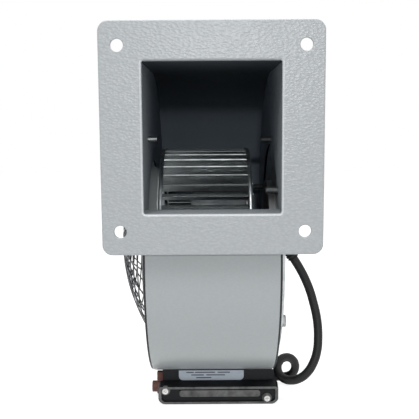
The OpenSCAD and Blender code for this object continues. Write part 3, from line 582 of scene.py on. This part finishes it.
def roll_over(bm, loop, steps, side):
    """Skins an edge from an outline on, through insets and depths. Returns the last outline.

    The side is 1 round a plate and -1 round an opening."""
    for (inset, depth), (next_inset, next_depth) in zip(steps, steps[1:]):
        loop = only(BMEdge, bmesh.ops.extrude_edge_only(bm, edges=loop)["geom"])
        spread(loop, side * (inset - next_inset), next_depth - depth)
    return loop


def fill(bm, *loops):
    """A flat face within the first outline and round the others."""
    bmesh.ops.triangle_fill(bm, use_beauty=True, use_dissolve=False, edges=sum(loops, []))


def facing_front(x, y, z):
    """A place whose Z points to the front."""
    return Matrix.Translation((x, y, z)) @ Matrix.Rotation(math.pi / 2, 4, "X")


flange_corner_r = 7 * MM
flange_round, mouth_round, hole_round = 0.9 * MM, 1.3 * MM, 0.5 * MM
bolt_across, bolt_up, bolt_hole_r = 62.5 * MM, 62 * MM, 4.25 * MM
mouth_low, mouth_high = (-46.5 * MM, -50 * MM), (46.5 * MM, 52 * MM)
mouth_corner_r = 1.5 * MM
flat_margin = 0.4 * MM
flange_t = flange_hi.y - flange_lo.y


def edge_steps(front_round, back_round):
    """Inset and depth of the outlines over an edge of the flange, from its front to its back."""
    back = [(inset, flange_t - depth) for inset, depth in reversed(rounding(back_round))]
    over = rounding(front_round) + back
    return [(front_round + flat_margin, 0), *over, (back_round + flat_margin, flange_t)]


plate_steps = edge_steps(flange_round, flange_round)
mouth_steps = edge_steps(mouth_round, hole_round)
hole_steps = edge_steps(hole_round, hole_round)
bm = bmesh.new()
inset = plate_steps[0][0]
plate_corners = rectangle(flange_lo.xz, flange_hi.xz, -inset)
outer = upright_loop(bm, plate_corners, flange_corner_r - inset, flange_lo.y, segments=8)
fronts, backs = [outer], [roll_over(bm, outer, plate_steps, 1)]
inset = mouth_steps[0][0]
mouth_corners = rectangle(mouth_low, mouth_high, inset)
mouth = upright_loop(bm, mouth_corners, mouth_corner_r + inset, flange_lo.y)
fronts.append(mouth)
backs.append(roll_over(bm, mouth, mouth_steps, -1))
for x in (-bolt_across, bolt_across):
    for z in (-bolt_up, bolt_up):
        hole = circle_loop(bm, facing_front(x, flange_lo.y, z), bolt_hole_r + hole_steps[0][0])
        fronts.append(hole)
        backs.append(roll_over(bm, hole, hole_steps, -1))
fill(bm, *fronts)
fill(bm, *backs)
close_up(bm)

# A paler paint on the mouth's rounded edge, apart from its top, is a painted highlight.
flat_front, turned_in = -0.99, -0.3
for face in bm.faces:
    middle = face.calc_center_median()
    in_width = abs(middle.x) < mouth_high[0] + mouth_round
    in_height = mouth_low[1] - mouth_round < middle.z < mouth_high[1]
    if in_width and in_height and flat_front < face.normal.y < turned_in:
        face.material_index = 1
casing_paint = painted_material("casing_paint", (0.48, 0.51, 0.53), (0.525, 0.555, 0.575), strength=0.36)
# A near-white paint for the painted highlight on the mouth's rounded edge.
mouth_highlight_paint = painted_material("mouth_highlight_paint", (0.72, 0.75, 0.77), (0.76, 0.79, 0.81), strength=0.1)
add_piece("flange_plate", bm, [casing_paint, mouth_highlight_paint], nodes=["outlet_flange"])


# Inlet ring: a spun steel ring with a flat rim on the inlet plate and a bell mouth that leads the
# air into the impeller. It is painted with the casing.
def turn_full(bm, steps):
    """Turns a profile, drawn above the impeller's axis, once round that axis."""
    bmesh.ops.spin(bm, geom=bm.verts[:] + bm.edges[:], cent=axis, axis=along, angle=math.tau,
                   steps=steps, use_merge=True)
    bmesh.ops.remove_doubles(bm, verts=bm.verts[:], dist=seam_gap)


def above_axis(x, radius):
    """A point straight above the impeller's axis."""
    return Vector((x, axis.y, axis.z + radius))


across = Vector((0, 1, 0))
ring_lo, ring_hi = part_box("inlet_ring")
bell_rim = 5 * MM
bell_r = 8 * MM
full_turn_steps = 96
ring_outer_r = ring_hi.z - axis.z
bell_start_r = ring_outer_r - bell_rim
bm = bmesh.new()
end = run_on(bm, [bm.verts.new(above_axis(ring_lo.x, ring_outer_r))], (0, 0, -bell_rim))
bend_on(bm, end, above_axis(ring_lo.x + bell_r, bell_start_r), across, -90, step=9)
turn_full(bm, full_turn_steps)
turn_towards(bm, (-1, 0, 0))
add_piece("bell_mouth", bm, [sheet_paint], nodes=["inlet_ring"], sheet=sheet_t)


# Motor plate: a round plate of galvanised steel, bolted over the opening on the motor side. It
# carries the motor and the cable's boot.
flake_share, smear_share = 0.3, 0.9
spangle_depth = 0.2 * MM
zinc, given, made = new_group(
    "zinc_spangle",
    {"Dull": (0.40, 0.42, 0.44, 1), "Bright": (0.66, 0.68, 0.70, 1), "Spangle": 170.0, "Rough": 0.42},
    {"Color": tuple, "Roughness": float, "Height": float})
place = object_place(zinc)
flake = add_node(zinc, "TexVoronoi", Vector=place, Scale=given["Spangle"])
flake_tone = add_node(zinc, "SeparateColor", Color=flake.outputs["Color"]).outputs[0]
smear = add_node(zinc, "TexNoise", Vector=place, Scale=60.0, Detail=5.0, Roughness=0.65)
flaked = add_math(zinc, "MULTIPLY", flake_tone, flake_share)
smeared = add_math(zinc, "MULTIPLY", smear.outputs[0], smear_share)
mixed = add_math(zinc, "ADD", flaked, smeared)
tone = add_node(zinc, "MapRange", Value=mixed, From_Min=0.25, From_Max=0.95)
zinc.links.new(mix_colors(zinc, tone.outputs[0], given["Dull"], given["Bright"]), made["Color"])
shine = add_node(zinc, "MapRange", Value=mixed, From_Min=0.25, From_Max=0.95, To_Max=0.26)
zinc.links.new(given["Rough"], shine.inputs["To Min"])
zinc.links.new(shine.outputs[0], made["Roughness"])
fine = add_node(zinc, "TexNoise", Vector=place, Scale=1500.0, Detail=2.0)
zinc.links.new(fine.outputs[0], made["Height"])


def zinc_material(name, dull, bright, spangle, strength=0.06, rough=0.42):
    """Zinc-coated steel with its own tones, size of spangle and roughness."""
    material, tree, shader = new_material(name, metallic=1.0)
    surface = add_group(tree, zinc, Dull=(*dull, 1), Bright=(*bright, 1), Spangle=spangle, Rough=rough)
    coat(tree, shader, surface, strength, spangle_depth)
    return material


def add_copy(name, node, material, edge=0.0, body="housing"):
    """A piece of a CAD node's own shape, in its place, with rounded edges."""
    add_piece(name, cad_copy(node), [material], body=body, nodes=[node], edge=edge)


galvanised = zinc_material("galvanised_sheet", (0.30, 0.32, 0.33), (0.50, 0.52, 0.53), spangle=260.0,
                           rough=0.5)
add_copy("motor_disc", "motor_plate", galvanised, edge=0.35 * MM)


# Motor plate bolts: three pairs of hexagon bolts with washers under their heads. Their threaded tips
# stand in the casing, where some of them show through the outlet.
def lathe(bm, points, place, segments=32):
    """Turns an outline of radius and height about Z, and moves it to its place."""
    before = set(bm.verts)
    verts = [bm.verts.new((radius, 0, height)) for radius, height in points]
    edges = [bm.edges.new(pair) for pair in zip(verts, verts[1:])]
    bmesh.ops.spin(bm, geom=verts + edges, cent=(0, 0, 0), axis=(0, 0, 1), angle=math.tau,
                   steps=segments, use_merge=True)
    bmesh.ops.transform(bm, matrix=place, verts=[v for v in bm.verts if v not in before])


def facing_right(x, y, z):
    """A place whose Z points along the impeller's axis."""
    return Matrix.Translation((x, y, z)) @ Matrix.Rotation(math.pi / 2, 4, "Y")


def round_the_axis(turn, radius, x):
    """A place beside the axis, turned from the top to the outlet, with Z along the axis."""
    spin = Matrix.Rotation(math.radians(turn), 4, "X")
    return Matrix.Translation(axis) @ spin @ facing_right(x, 0, radius)


def hexagon(bm, radius, height):
    """A hexagonal prism about Z, for a bolt's head or a nut. Returns its vertices."""
    prism = bmesh.ops.create_cone(bm, cap_ends=True, segments=6, radius1=radius, radius2=radius,
                                  depth=height)
    return prism["verts"]


def thread_outline(radius, depth, pitch, length):
    """The toothed outline of a screw thread that ends in a short point."""
    teeth = round(length / pitch)
    points = [(radius - depth, 0)]
    for i in range(teeth):
        points += [(radius, (i + 0.5) * pitch), (radius - depth, (i + 1) * pitch)]
    return points + [(radius - 2 * depth, teeth * pitch + depth), (0, teeth * pitch + depth)]


zinc_bright = zinc_material("zinc_fasteners", (0.42, 0.42, 0.41), (0.64, 0.64, 0.63), spangle=300.0,
                            strength=0.03)
zinc_dull = zinc_material("zinc_dull", (0.20, 0.21, 0.21), (0.38, 0.39, 0.39), spangle=300.0,
                          strength=0.03, rough=0.55)
bolt_pairs, first_turn, pair_turn = 3, 9, 47
bolt_turns = [first_turn + i * 360 / bolt_pairs + turn for i in range(bolt_pairs) for turn in (0, pair_turn)]
bolt_circle_r = 83 * MM
bolt_r = 2.5 * MM
thread_pitch, thread_depth, thread_sides = 0.8 * MM, 0.3 * MM, 20
washer_r, washer_t = 4.9 * MM, 0.8 * MM
head_r, head_h, head_round = 4.5 * MM, 3.5 * MM, 0.5 * MM
thread_l = disc_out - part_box("motor_plate_bolts")[0].x - thread_depth
bm = bmesh.new()
for turn in bolt_turns:
    seat = round_the_axis(turn, bolt_circle_r, disc_out)
    lathe(bm, [(0, 0), (washer_r, 0), (washer_r, washer_t), (0, washer_t)], seat)
    head = hexagon(bm, head_r, head_h - washer_t)
    rim = each_once(edge for v in head for edge in v.link_edges)
    top = [edge for edge in rim if all(v.co.z > 0 for v in edge.verts)]
    head_place = seat @ Matrix.Translation((0, 0, (head_h + washer_t) / 2))
    bmesh.ops.transform(bm, matrix=head_place, verts=head)
    round_off(bm, top, head_round, segments=2, clamp=True)
    tip = seat @ Matrix.Rotation(math.pi, 4, "X")
    lathe(bm, thread_outline(bolt_r, thread_depth, thread_pitch, thread_l), tip, thread_sides)
close_up(bm)
add_piece("plate_bolts", bm, [zinc_dull], nodes=["motor_plate_bolts"])


# Motor flange and its screws: a casting with the tube that holds the bearings, screwed to the motor
# plate from outside by four pan-head screws.
def dress(node, material):
    """Gives a CAD node its finish."""
    for held in frame["nodes"][node].material_slots:
        held.material = material


cast_alloy = moulded_material("cast_alloy", (0.36, 0.37, 0.38), (0.46, 0.47, 0.48), grain=700.0,
                              strength=0.25, depth=0.4 * MM, metallic=0.85)
dress("motor_flange", cast_alloy)
add_copy("flange_screws", "motor_flange_screws", zinc_bright, edge=0.2 * MM)


# Stator: a stack of thin steel laminations on the bearing tube, with varnished copper coils in its
# slots. The rotor core is stacked from the same laminations.
layer_depth = 0.2 * MM


def striped_material(name, dark, light, scale, metallic, roughness, strength):
    """Layers or turns that follow each other along the axis."""
    material, tree, shader = new_material(name, metallic, roughness)
    layer = add_node(tree, "TexWave", Vector=object_place(tree), Scale=scale, Distortion=0.4)
    color = mix_colors(tree, layer.outputs["Fac"], (*dark, 1), (*light, 1))
    tree.links.new(color, shader.inputs["Base Color"])
    add_bump(tree, shader, layer.outputs["Fac"], strength, layer_depth)
    return material


core_steel = striped_material("core_steel", (0.10, 0.10, 0.11), (0.26, 0.26, 0.27), scale=300.0,
                              metallic=0.9, roughness=0.45, strength=0.4)
copper_coils = striped_material("copper_winding", (0.20, 0.07, 0.03), (0.55, 0.22, 0.09), scale=260.0,
                                metallic=0.8, roughness=0.35, strength=0.6)
dress("stator_core", core_steel)
dress("rotor_core", core_steel)
dress("stator_coils", copper_coils)


# Bearings, shaft and circlip: two ball bearings in the flange's tube, the ground shaft that turns in
# them and the black ring that holds it.
ground_steel = zinc_material("bearing_steel", (0.56, 0.56, 0.57), (0.72, 0.72, 0.73), spangle=40.0,
                             strength=0.02)
for node in ("bearing_outer_rings", "bearing_inner_rings", "bearing_balls", "motor_shaft"):
    dress(node, ground_steel)
black_oxide = zinc_material("spring_steel", (0.03, 0.03, 0.035), (0.08, 0.08, 0.085), spangle=200.0)
dress("shaft_circlip", black_oxide)


# Rotor cup: a drawn steel cup that turns round the stator, with the rotor core inside its wall. It
# carries the impeller on its rim.
drawn_steel = zinc_material("rotor_steel", (0.20, 0.21, 0.22), (0.34, 0.35, 0.36), spangle=90.0)
add_copy("drum_motor_cup", "rotor_cup", drawn_steel, edge=0.5 * MM, body="rotor")


# Impeller blades: forty-six strips of galvanised sheet, rolled to a forward curve. Each has a tab at
# both ends that goes through the end ring or the back disc.
def draw_out(bm, step):
    """Draws a flat sheet out into a closed solid."""
    drawn = bmesh.ops.extrude_face_region(bm, geom=bm.faces[:])["geom"]
    bmesh.ops.translate(bm, vec=step, verts=only(BMVert, drawn))
    close_up(bm)


blade_count = 46
blade_root_r = 59.8 * MM
blade_curve_r = 12 * MM
blade_lean = 15
blade_sweep = 77.5
blade_t = 0.8 * MM
tab_l, tab_w = 3.4 * MM, 4 * MM
tab_place = 0.55
blade_lo, blade_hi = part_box("impeller_blades")
lean = math.radians(blade_lean)
to_root = Vector((0, -math.sin(lean), -math.cos(lean)))
blade_center = axis + Vector((0, blade_root_r, 0)) - to_root * blade_curve_r
blade_center.x = blade_lo.x
bm = bmesh.new()
root = [bm.verts.new(blade_center + to_root * r) for r in (blade_curve_r, blade_curve_r - blade_t)]
bend_on(bm, root + [bm.edges.new(root)], blade_center, along, blade_sweep, step=7.8)
draw_out(bm, (blade_hi.x - blade_lo.x, 0, 0))
to_tab = Matrix.Rotation(math.radians(blade_sweep * tab_place), 4, "X") @ to_root
tab_at = blade_center + to_tab * (blade_curve_r - blade_t / 2)
tab_turn = Matrix.Rotation(math.atan2(to_tab.z, to_tab.y) - math.pi / 2, 4, "X")
for x in (blade_lo.x, blade_hi.x):
    place = Matrix.Translation((x, tab_at.y, tab_at.z)) @ tab_turn
    bmesh.ops.create_cube(bm, size=1.0, matrix=place @ Matrix.Diagonal((tab_l, tab_w, blade_t, 1)))
bmesh.ops.spin(bm, geom=bm.verts[:] + bm.edges[:] + bm.faces[:], cent=axis, axis=along,
               angle=math.tau * (blade_count - 1) / blade_count, steps=blade_count - 1, use_duplicate=True)
blade_zinc = zinc_material("blade_zinc", (0.30, 0.33, 0.34), (0.50, 0.53, 0.54), spangle=130.0, rough=0.62)
add_piece("blade_set", bm, [blade_zinc], body="rotor", nodes=["impeller_blades"])


# End ring and back disc: pressed sheet at the two ends of the blades, with the outer edge folded
# over the blade tips. The disc is riveted to the rotor cup's rim.
fold_r = 1.4 * MM
fold_l = 3 * MM
disc_hole_r = 41.5 * MM
for node, name, outward in (("impeller_end_ring", "end_ring", -1), ("impeller_back_disc", "back_disc", 1)):
    rim_lo, rim_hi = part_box(node)
    face_x = rim_hi.x if outward > 0 else rim_lo.x
    inner_r = disc_hole_r if outward > 0 else blade_root_r
    bm = bmesh.new()
    end = [bm.verts.new(above_axis(face_x, inner_r))]
    end = run_on(bm, end, (0, 0, impeller_r - fold_r - inner_r))
    bend_center = above_axis(face_x - outward * fold_r, impeller_r - fold_r)
    end = bend_on(bm, end, bend_center, across, outward * -90, step=18)
    run_on(bm, end, (-outward * (fold_l - fold_r), 0, 0))
    turn_full(bm, 3 * blade_count)
    turn_towards(bm, (outward, 0, 0))
    add_piece(name, bm, [blade_zinc], body="rotor", nodes=[node], sheet=sheet_t)
add_copy("disc_rivets", "impeller_rivets", zinc_bright, edge=0.25 * MM, body="rotor")


# Wire guard: rings of wire, welded to bent spokes in a shallow dome over the inlet. Two clips and
# their screws hold its thick outer ring to the inlet plate.
def wire_section(bm, place, wire_r, sides=10):
    """A wire's round section, with the wire along Z of its place."""
    edges = circle_loop(bm, place, wire_r, sides)
    return each_once(v for edge in edges for v in edge.verts) + edges


guard_wire = zinc_material("guard_wire", (0.07, 0.075, 0.08), (0.18, 0.185, 0.19), spangle=120.0,
                           strength=0.04)
guard_r, guard_h = 72 * MM, 20 * MM
guard_rim_r, wire_r = 1.5 * MM, 0.55 * MM
guard_pitch = 8 * MM
spoke_count = 24
spoke_gap = 0.05 * MM
clip_count, clip_turn = 2, 31
plate_lo, plate_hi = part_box("inlet_side_plate")
guard_base_x = plate_lo.x - guard_rim_r
dome_r = (guard_r ** 2 + guard_h ** 2) / (2 * guard_h)
rim_reach = dome_r - (guard_rim_r - wire_r)
dome_center = Vector((guard_base_x + math.sqrt(rim_reach ** 2 - guard_r ** 2), axis.y, axis.z))
ring_count = math.floor(guard_r / guard_pitch) - 1
along_y = Matrix.Rotation(math.pi / 2, 4, "X")
bm = bmesh.new()
for i in range(ring_count + 1):
    ring_r = guard_r - i * guard_pitch
    ring_x = dome_center.x - math.sqrt(dome_r ** 2 - ring_r ** 2) if i else guard_base_x
    place = Matrix.Translation(above_axis(ring_x, ring_r)) @ along_y
    section = wire_section(bm, place, wire_r if i else guard_rim_r)
    bmesh.ops.spin(bm, geom=section, cent=axis, axis=along, angle=math.tau, steps=full_turn_steps,
                   use_merge=True)
close_up(bm)
add_piece("guard_hoops", bm, [guard_wire], nodes=["guard_rings"], sharp=80)

# Spokes: every second one stops two rings before the innermost ring.
inner_ring_r = guard_r - ring_count * guard_pitch
spoke_r = dome_r + 2 * wire_r + spoke_gap
outer_turn = math.asin(guard_r / rim_reach)
bm = bmesh.new()
for i in range(spoke_count):
    before = set(bm.verts)
    inner_turn = math.asin((inner_ring_r + (i % 2) * 2 * guard_pitch - 2 * wire_r) / dome_r)
    tilt = Matrix.Rotation(inner_turn, 4, "Y")
    place = Matrix.Translation(dome_center) @ tilt @ Matrix.Translation((-spoke_r, 0, 0))
    section = wire_section(bm, place, wire_r)
    end = bend_on(bm, section, dome_center, across, math.degrees(outer_turn - inner_turn), fine_degrees)
    for ring in (section, end):
        bmesh.ops.holes_fill(bm, edges=only(BMEdge, ring), sides=0)
    turn = Matrix.Rotation(math.radians(clip_turn + (i + 0.5) * 360 / spoke_count), 3, "X")
    bmesh.ops.rotate(bm, cent=axis, matrix=turn, verts=[v for v in bm.verts if v not in before])
close_up(bm)
add_piece("guard_ribs", bm, [guard_wire], nodes=["guard_spokes"], sharp=80)
add_copy("guard_holders", "guard_clips", zinc_bright, edge=0.3 * MM)

guard_screw_r, guard_screw_d = 97.5 * MM, 4 * MM
tip_r = guard_screw_d / 2 + thread_depth / 2
tip_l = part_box("guard_screws")[1].x - plate_hi.x - thread_depth
bm = cad_copy("guard_screws")
for i in range(clip_count):
    seat = round_the_axis(clip_turn + i * 360 / clip_count, guard_screw_r, plate_hi.x)
    lathe(bm, thread_outline(tip_r, thread_depth, thread_pitch, tip_l), seat, thread_sides)
add_piece("guard_fixings", bm, [zinc_dull], nodes=["guard_screws"], edge=0.2 * MM)


# Cable boot: a moulded rubber elbow with a collar on the motor plate. Its tail points down, tapers
# and has grooves, so that the cable bends softly where it leaves.
def through_rings(bm, rings, sides=36):
    """A closed skin through circles, each with a centre, a direction and a radius."""
    places = [Matrix.Translation(center) @ way.to_track_quat("Z", "Y").to_matrix().to_4x4()
              @ Matrix.Scale(radius, 4) for center, way, radius in rings]
    start = loop = circle_loop(bm, places[0], 1.0, sides)
    for place, next_place in zip(places, places[1:]):
        drawn = bmesh.ops.extrude_edge_only(bm, edges=loop)["geom"]
        bmesh.ops.transform(bm, matrix=next_place @ place.inverted(), verts=only(BMVert, drawn))
        loop = only(BMEdge, drawn)
    for end in (start, loop):
        bmesh.ops.holes_fill(bm, edges=end, sides=0)


soft_rubber = moulded_material("soft_rubber", (0.006, 0.006, 0.007), (0.014, 0.014, 0.015), grain=1500.0,
                               strength=0.15, depth=0.2 * MM, gloss=0.3)
boot_r, tail_r = 5.5 * MM, 4.5 * MM
collar_r, collar_t, collar_round = 7.5 * MM, 2 * MM, 0.4 * MM
bend_r, bend_steps = 6 * MM, 8
groove_count, groove_depth = 4, 0.7 * MM

# A groove and its rib, as shares of their length and of the groove's depth.
groove_shape = ((0.3, 0), (0.4, 1), (0.8, 1), (0.9, 0))

bend_cut = bend_r * math.tan(boot_angle / 2)
elbow = boot_base + along * boot_neck
bend_center = elbow - along * bend_cut - Vector((0, 0, bend_r))
rings = [(boot_base, along, collar_r)]
for inset, depth in reversed(rounding(collar_round)):
    rings.append((boot_base + along * (collar_t - depth), along, collar_r - inset))
rings.append((boot_base + along * collar_t, along, boot_r))
for i in range(bend_steps + 1):
    turn = boot_angle * i / bend_steps
    way = Vector((math.cos(turn), 0, -math.sin(turn)))
    rings.append((bend_center + Vector((math.sin(turn), 0, math.cos(turn))) * bend_r, way, boot_r))
tail_l = boot_tail - bend_cut
for i in range(groove_count):
    for part, sunk in groove_shape:
        share = (i + part) / groove_count
        radius = boot_r + (tail_r - boot_r) * share - groove_depth * sunk
        rings.append((elbow + tail_way * (bend_cut + tail_l * share), tail_way, radius))
rings.append((elbow + tail_way * boot_tail, tail_way, tail_r))
bm = bmesh.new()
through_rings(bm, rings)
close_up(bm)
add_piece("lead_elbow", bm, [soft_rubber], nodes=["cable_boot"])


# Terminal box: a moulded black plastic box on a saddle of the scroll's own curve, held by two screws
# from inside. Its front is open and takes the cover.
box_plastic = moulded_material("box_plastic", (0.004, 0.005, 0.006), (0.010, 0.011, 0.013), grain=1300.0,
                               strength=0.2, depth=0.3 * MM, gloss=0.2)
add_copy("connection_box", "terminal_box", box_plastic, edge=0.5 * MM)
add_copy("box_fixings", "terminal_box_screws", zinc_bright, edge=0.2 * MM)
add_copy("cover_seal", "cover_gasket", soft_rubber)


# Box cover: a moulded plastic lid with cut lower corners, its raised front faces paler grey, partly
# rubbed by use and partly painted light. A raised border runs round a recess, with a raised pad in its
# middle and a boss for each of the two screws.
def cover_corners(inset):
    """The cover's outline, moved in from its edge."""
    left, right = cover_lo.x + inset, cover_hi.x - inset
    bottom, top = cover_lo.z + inset, cover_hi.z - inset
    cut = cover_cut - inset / 2
    return [(left + cut, bottom), (right - cut, bottom), (right, bottom + cut), (right, top), (left, top),
            (left, bottom + cut)]


# A paler grey plastic for the lid's front: partly rubbed by use, partly painted light.
cover_wear_and_light_plastic = moulded_material("cover_wear_and_light_plastic", (0.045, 0.046, 0.046), (0.240, 0.242, 0.240), grain=900.0,
                                 strength=0.3, depth=0.4 * MM)
cover_lo, cover_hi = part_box("box_cover")
cover_cut, cover_corner_r = 3.5 * MM, 1.2 * MM
cover_round, border_round = 0.9 * MM, 0.5 * MM
border_w, recess = 2.6 * MM, 1.6 * MM
top_slope = 0.15
pad_low, pad_high = (-27 * MM, -204 * MM), (37.5 * MM, -197.3 * MM)
pad_round, pad_sink, pad_corner_r = 0.5 * MM, 0.5 * MM, 1.5 * MM
boss_r, boss_sink, boss_round = 3.8 * MM, 0.4 * MM, 0.4 * MM
lid_t = cover_hi.y - cover_lo.y
lid_steps = [(cover_round + flat_margin, 0), *rounding(cover_round), (0, lid_t), (flat_margin, lid_t)]
recess_foot = [(0, recess), (-flat_margin, recess)]
border_steps = [(border_round + flat_margin, 0), *rounding(border_round), *recess_foot]
pad_steps = [(pad_round + flat_margin, pad_sink)]
pad_steps += [(inset, pad_sink + depth) for inset, depth in rounding(pad_round)]
pad_steps += recess_foot
bm = bmesh.new()
lid = upright_loop(bm, cover_corners(lid_steps[0][0]), cover_corner_r, cover_lo.y)
border = upright_loop(bm, cover_corners(border_w - border_steps[0][0]), cover_corner_r, cover_lo.y)
pad_corners = rectangle(pad_low, pad_high, -pad_steps[0][0])
pad = upright_loop(bm, pad_corners, pad_corner_r, cover_lo.y + pad_sink)
fill(bm, lid, border)
fill(bm, pad)
fill(bm, roll_over(bm, lid, lid_steps, 1))
fill(bm, roll_over(bm, border, border_steps, -1), roll_over(bm, pad, pad_steps, 1))
close_up(bm)

# The front is lower than the back, so that the top slopes.
for v in bm.verts:
    if v.co.y < cover_lo.y + lid_t / 2:
        v.co.z -= top_slope * (v.co.z - cover_lo.z)
bm.normal_update()

# Only what faces the front and stands above the recess is paler grey, partly wear and partly painted
# light; the rest takes the black plastic, which in the recess is painted shade.
wear_and_shade_tilt, wear_and_shade_depth = -0.7, cover_lo.y + (pad_sink + recess) / 2
for face in bm.faces:
    if face.normal.y > wear_and_shade_tilt or face.calc_center_median().y > wear_and_shade_depth:
        face.material_index = 1

screw_lo, screw_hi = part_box("cover_screws")
lid_head_r = 2.4 * MM
boss_top = lid_t - boss_sink
boss_profile = [(0, 0), (boss_r, 0)]
boss_profile += [(boss_r - inset, boss_top - depth) for inset, depth in reversed(rounding(boss_round))]
boss_profile.append((0, boss_top))
boss_places = (
    (screw_lo.x + lid_head_r, screw_hi.z - lid_head_r), (screw_hi.x - lid_head_r, screw_lo.z + lid_head_r))
bosses = bmesh.new()
for x, z in boss_places:
    lathe(bosses, boss_profile, facing_front(x, cover_hi.y, z))
close_up(bosses)
add_piece("box_lid", bm, [cover_wear_and_light_plastic, box_plastic], nodes=["box_cover"])
add_piece("lid_bosses", bosses, [cover_wear_and_light_plastic])
add_copy("lid_screws", "cover_screws", zinc_bright, edge=0.25 * MM)


# Label: a thin foil plate on the front of the box, with round lower corners. It carries rows of plain
# printed bars and no words.
label_foil, tree, shader = new_material("label_foil", metallic=0.25, roughness=0.38)
brushed = add_node(tree, "TexNoise", Vector=object_place(tree), Scale=700.0, Detail=3.0)
foil_tone = mix_colors(tree, brushed.outputs[0], (0.33, 0.38, 0.44, 1), (0.44, 0.49, 0.55, 1))
tree.links.new(foil_tone, shader.inputs["Base Color"])
add_bump(tree, shader, brushed.outputs[0], strength=0.05, depth=0.1 * MM)
label_ink = moulded_material("label_ink", (0.03, 0.04, 0.06), (0.07, 0.08, 0.11), grain=600.0, strength=0.05,
                             depth=0.1 * MM)
label_lo, label_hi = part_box("box_label")
label_corner_r, ink_t = 3.4 * MM, 0.02 * MM
row_pitch, row_top, bar_h = 2.2 * MM, 1.6 * MM, 0.9 * MM

# The bars of each row, from start to stop, in millimetres from the plate's left edge.
bar_rows = (((6, 12), (13, 29), (31, 41)), ((10, 20), (22, 37)), ((14, 26),))
bm = bmesh.new()
verts = [bm.verts.new((x, label_lo.y, z)) for x, z in rectangle(label_lo.xz, label_hi.xz)]
bm.faces.new(verts)
round_off(bm, verts[:2], label_corner_r, segments=6, affect="VERTICES")
draw_out(bm, (0, label_hi.y - label_lo.y, 0))
for row, bars in enumerate(bar_rows):
    z = label_hi.z - row_top - row * row_pitch
    for start, stop in bars:
        middle = Matrix.Translation((label_lo.x + (start + stop) / 2 * MM, label_lo.y, z))
        size = Matrix.Diagonal(((stop - start) * MM, ink_t, bar_h, 1))
        bar = bmesh.ops.create_cube(bm, size=1.0, matrix=middle @ size)["verts"]
        for face in each_once(face for v in bar for face in v.link_faces):
            face.material_index = 1
add_piece("type_plate", bm, [label_foil, label_ink], nodes=["box_label"])


# Cable gland: a plastic hexagon nut with a domed cap on the right side of the box, where the cable
# goes in.
gland_r, gland_cap_r, gland_stem_r, gland_mouth_r = 5.5 * MM, 4.75 * MM, 3.9 * MM, 3.6 * MM
nut_round = 0.4 * MM
box_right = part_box("terminal_box")[1].x
gland_l = gland_hi.x - box_right
gland_place = facing_right(box_right, gland_end.y, gland_end.z)
cap_round = gland_cap_r - gland_mouth_r - flat_margin
bm = bmesh.new()
nut = hexagon(bm, gland_r, gland_l / 2)
round_off(bm, each_once(edge for v in nut for edge in v.link_edges), nut_round, segments=2, clamp=True)
bmesh.ops.transform(bm, matrix=gland_place @ Matrix.Translation((0, 0, gland_l / 4)), verts=bm.verts[:])
stem_end = gland_lo.x - box_right
cap = [(0, stem_end), (gland_stem_r, stem_end), (gland_stem_r, 0), (gland_cap_r, 0)]
cap += [(gland_cap_r - inset, gland_l - depth) for inset, depth in reversed(rounding(cap_round))]
cap += [(gland_mouth_r, gland_l), (gland_mouth_r, gland_l / 2), (0, gland_l / 2)]
lathe(bm, cap, gland_place)
close_up(bm)
add_piece("lead_gland", bm, [box_plastic], nodes=["cable_gland"])


# Inlet plug: a red-brown plastic plug that closes the box's supply inlet, with ridges round its rim
# and a tab to pull it out by.
plug_brown = moulded_material("plug_brown", (0.085, 0.022, 0.015), (0.17, 0.05, 0.036), grain=1000.0,
                              strength=0.2, depth=0.3 * MM)
plug_lo, plug_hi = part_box("inlet_plug")
plug_d, ridge_count, ridge_t = 12 * MM, 3, 0.8 * MM
plug_rim = 5 * MM
plug_center = Vector((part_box("terminal_box")[0].x, (plug_lo.y + plug_hi.y) / 2, plug_lo.z + plug_d / 2))
bm = cad_copy("inlet_plug")
for i in range(ridge_count):
    x = plug_center.x - plug_rim * (i + 0.5) / ridge_count
    outline = [(0, -ridge_t), (plug_d / 2, -ridge_t / 2), (plug_d / 2, ridge_t / 2), (0, ridge_t)]
    lathe(bm, outline, facing_right(x, plug_center.y, plug_center.z))
add_piece("inlet_stopper", bm, [plug_brown], nodes=["inlet_plug"], edge=0.4 * MM)


# Inside the box: an ivory terminal block with brass screws, and the motor's run capacitor in its
# dark can.
block_ivory = moulded_material("block_ivory", (0.55, 0.51, 0.41), (0.68, 0.64, 0.53), grain=800.0,
                               strength=0.15, depth=0.2 * MM)
add_copy("wire_block", "terminal_block", block_ivory, edge=0.3 * MM)
turned_brass = zinc_material("turned_brass", (0.42, 0.30, 0.10), (0.62, 0.46, 0.18), spangle=400.0,
                             strength=0.04)
add_copy("wire_screws", "terminal_screws", turned_brass, edge=0.15 * MM)
add_copy("capacitor_can", "run_capacitor", box_plastic, edge=1.0 * MM)
